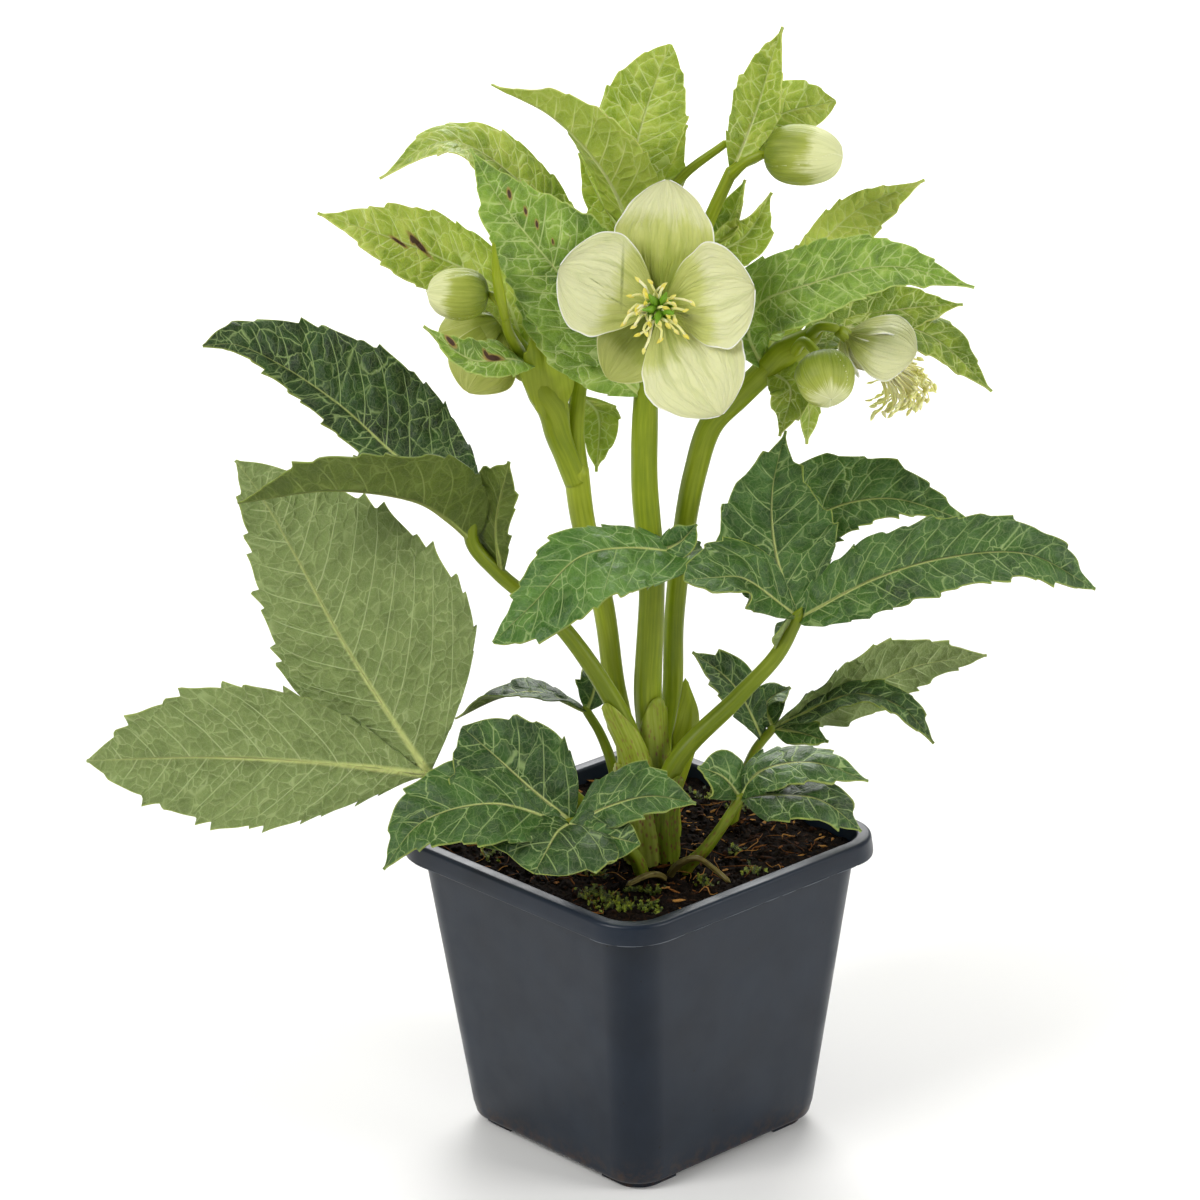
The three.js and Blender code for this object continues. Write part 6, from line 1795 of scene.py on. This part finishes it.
def stamen(number, foot, axes, centre, heart):
    """One filament and the anther on its end."""
    path = centre + thread_points(number, foot, heart) @ axes
    thick = heart["thick"] * dice.uniform(0.75, 1.1)
    radii = [thick, thick, 0.85 * thick, 0.7 * thick]
    thread = stalk(path, radii, sides=7, step=1.6, ridges=0.05, seed=number, tone=dice.uniform(0.1, 1))
    end = path[-1]
    lean = unit(path[-1] - path[-2]) + dice.normal(0, 0.35, 3)
    half_long = 1.15 * heart["anther"] * unit(lean)
    lobes = [end - half_long, end, end + half_long]
    shape = dict(sides=8, step=0.45, squash=0.62, ridges=0.1)
    return thread, stalk(lobes, [0.45, 0.78, 0.72, 0.4], **shape, seed=number, tone=dice.uniform(0.1, 0.9))


print("stamens:", {name: heart["count"] for name, heart in HEARTS.items()})

# %% [markdown]
# Carpels and nectaries stand in rings round the bloom's axis. Each is a stalk through a few places,
# given by how far out and how far up they are. The main bloom's anthers are ripe and yellow, and those
# of the others still have the filaments' cream.

# %% Hearts
CARPEL_TURNS = (62, 128, 190, 262, 335)
CARPEL = [(0.9, 0), (2.2, 4), (3.4, 7.5), (5.4, 10)]
NECTARIES = 13
NECTARY_TURN = 0.483  # a thirteenth of a full turn
NECTARY = [(2.6, -0.6), (3.6, 1.2), (4.1, 3.2)]
anther_skin = stalk_tissue("anther_pollen", "#dcc83c", "#eadb62", "#f6efa4", "#b7ab52", -100.0, light=0.4)
filament_skin = stalk_tissue("filament", "#dcd87a", "#ece9a0", "#f8f6cc", "#b9c477", -100.0, light=0.4)
carpel_skin = stalk_tissue("carpel_skin", "#4d7a10", "#6f9c22", "#97b84a", "#8a5a3a", -100.0)


def standing(places, turn, foot):
    """Points at distances out from the bloom's axis and up from the foot, in one direction."""
    c, s = math.cos(turn), math.sin(turn)
    return np.array([(out * c, out * s, foot + up) for out, up in places])


for name, heart in HEARTS.items():
    node = f"{name}_heart"
    axes, centre = bloom_frame(BLOOMS[name])
    foot = BLOOMS[name]["seat"] + 0.3
    stamens = [stamen(number, foot, axes, centre, heart) for number in range(heart["count"])]
    threads, anthers = zip(*stamens)
    ripe_skin = anther_skin if name == "bloom_main" else filament_skin
    make_piece(f"{name}_filaments", threads, filament_skin, [node])
    make_piece(f"{name}_anthers", anthers, ripe_skin, [node])
    greens = []
    shape = dict(sides=14, step=0.6, ridges=0.05, tone=0.6)
    for turn in CARPEL_TURNS:
        path = centre + standing(CARPEL, math.radians(turn), foot) @ axes
        greens.append(stalk(path, [1.3, 1.8, 1.3, 0.35], **shape, seed=turn))
    shape = dict(sides=12, step=0.6, ridges=0.03, tone=0.75)
    for number in range(NECTARIES):
        path = centre + standing(NECTARY, NECTARY_TURN * number + 0.2, foot) @ axes
        greens.append(stalk(path, [0.4, 0.8, 1.05], **shape, seed=number))
    make_piece(f"{name}_carpels", greens, carpel_skin, [node])

# %% [markdown]
# A closed bud is an egg of overlapping sepals. It could be built from three blades, but they would
# have to be fitted to each other. Here it is one grid: going round it, the radius climbs slowly and
# drops at three edges that wind from the foot to the nose. Those edges are nearly white, the sepals'
# pale margins with some painted highlight, and the bud darkens towards its foot, partly its own green
# and partly painted shade.

# %% Buds
BUDS = {
    "bud_left": dict(foot=[-48.6, -19.2, 322.2], nose=[-70, -18, 323], radius=9.2),
    "bud_top": dict(foot=[47.4, 8, 363.4], nose=[73.5, -2, 364], radius=11),
    # the right bud's dark tone is painted shade
    "bud_right": dict(foot=[65, -15.4, 296], nose=[68, -31, 286], radius=10.6, tone=-0.2),
}


def bud(foot, nose, radius, seed, tone=0.4, sides=110, rows=64):
    """A closed bud as a grid with three stepped sepal edges."""
    foot, nose = np.array(foot, float), np.array(nose, float)
    length = np.linalg.norm(nose - foot)
    axis = (nose - foot) / length
    side = unit(np.array([0, 0, 1.0]) - axis * axis[2])
    across = np.cross(axis, side)
    t = (1 - np.cos(np.linspace(0, np.pi, rows + 1)[:, None])) / 2
    angle = np.linspace(0, 2 * np.pi, sides, endpoint=False)[None, :]
    swell = np.sin(np.pi * (0.05 + 0.91 * t) ** 0.92) ** 0.72
    swell = swell * np.clip(np.sin(np.pi * np.clip(t, 0.0005, 0.9995)) * 4, 0, 1) ** 0.5
    drift = 0.03 * np.sin(5 * t + seed) + 0.02 * np.sin(11 * t + 2 * seed)
    step = (3 * angle / (2 * np.pi) + 0.45 * t + drift) % 1
    lap = np.where(step < 0.93, (step / 0.93) ** 2, (1 - step) / 0.07)
    ribs = 0.002 * np.sin(26 * angle + 3 * t) + 0.01 * np.sin(7 * angle + seed)
    size = radius * swell * (0.95 + 0.055 * lap + ribs * np.sin(np.pi * t))
    centre = foot + axis * (length * (t - 0.06 * np.sin(2 * np.pi * t)))
    points = centre[:, None] + side * (size * np.cos(angle))[..., None]
    points = points + across * (size * np.sin(angle))[..., None]
    shape = size.shape
    margin = (1 - step) * radius * 2 * swell
    place = np.stack([angle * radius + 0 * t, t * length + 0 * angle, margin], -1)
    lengthwise = 0.35 * np.sin(np.pi * t) + t * length / 12 + 0 * angle
    web = np.stack([angle * 5 + 0 * t, lengthwise, np.full(shape, 3.0 * seed)], -1)
    return {
        "points": points.reshape(-1, 3),
        "quads": grid_faces(rows + 1, sides, closed=True),
        "place": place.reshape(-1, 3),
        "web": web.reshape(-1, 3),
        "share": (0.05 + 0.75 * t + 0 * angle).ravel(),
        "hurt": np.full(size.size, UNHURT),
        "tone": np.full(size.size, tone),
    }


for seed, (name, shape) in enumerate(BUDS.items()):
    make_piece(f"{name}_sepals", [bud(**shape, seed=seed + 1)], bud_skin, [name])

# %% [markdown]
# The last step compares the finished piece with the CAD box, and hands the scene over.

# %% Hand over
visual_box = [list(corner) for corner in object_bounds()]
for corner in (0, 1):
    gap = [round(1000 * (visual_box[corner][axis] - cad_box[corner][axis]), 1) for axis in range(3)]
    print("visual minus CAD box, mm:", gap)
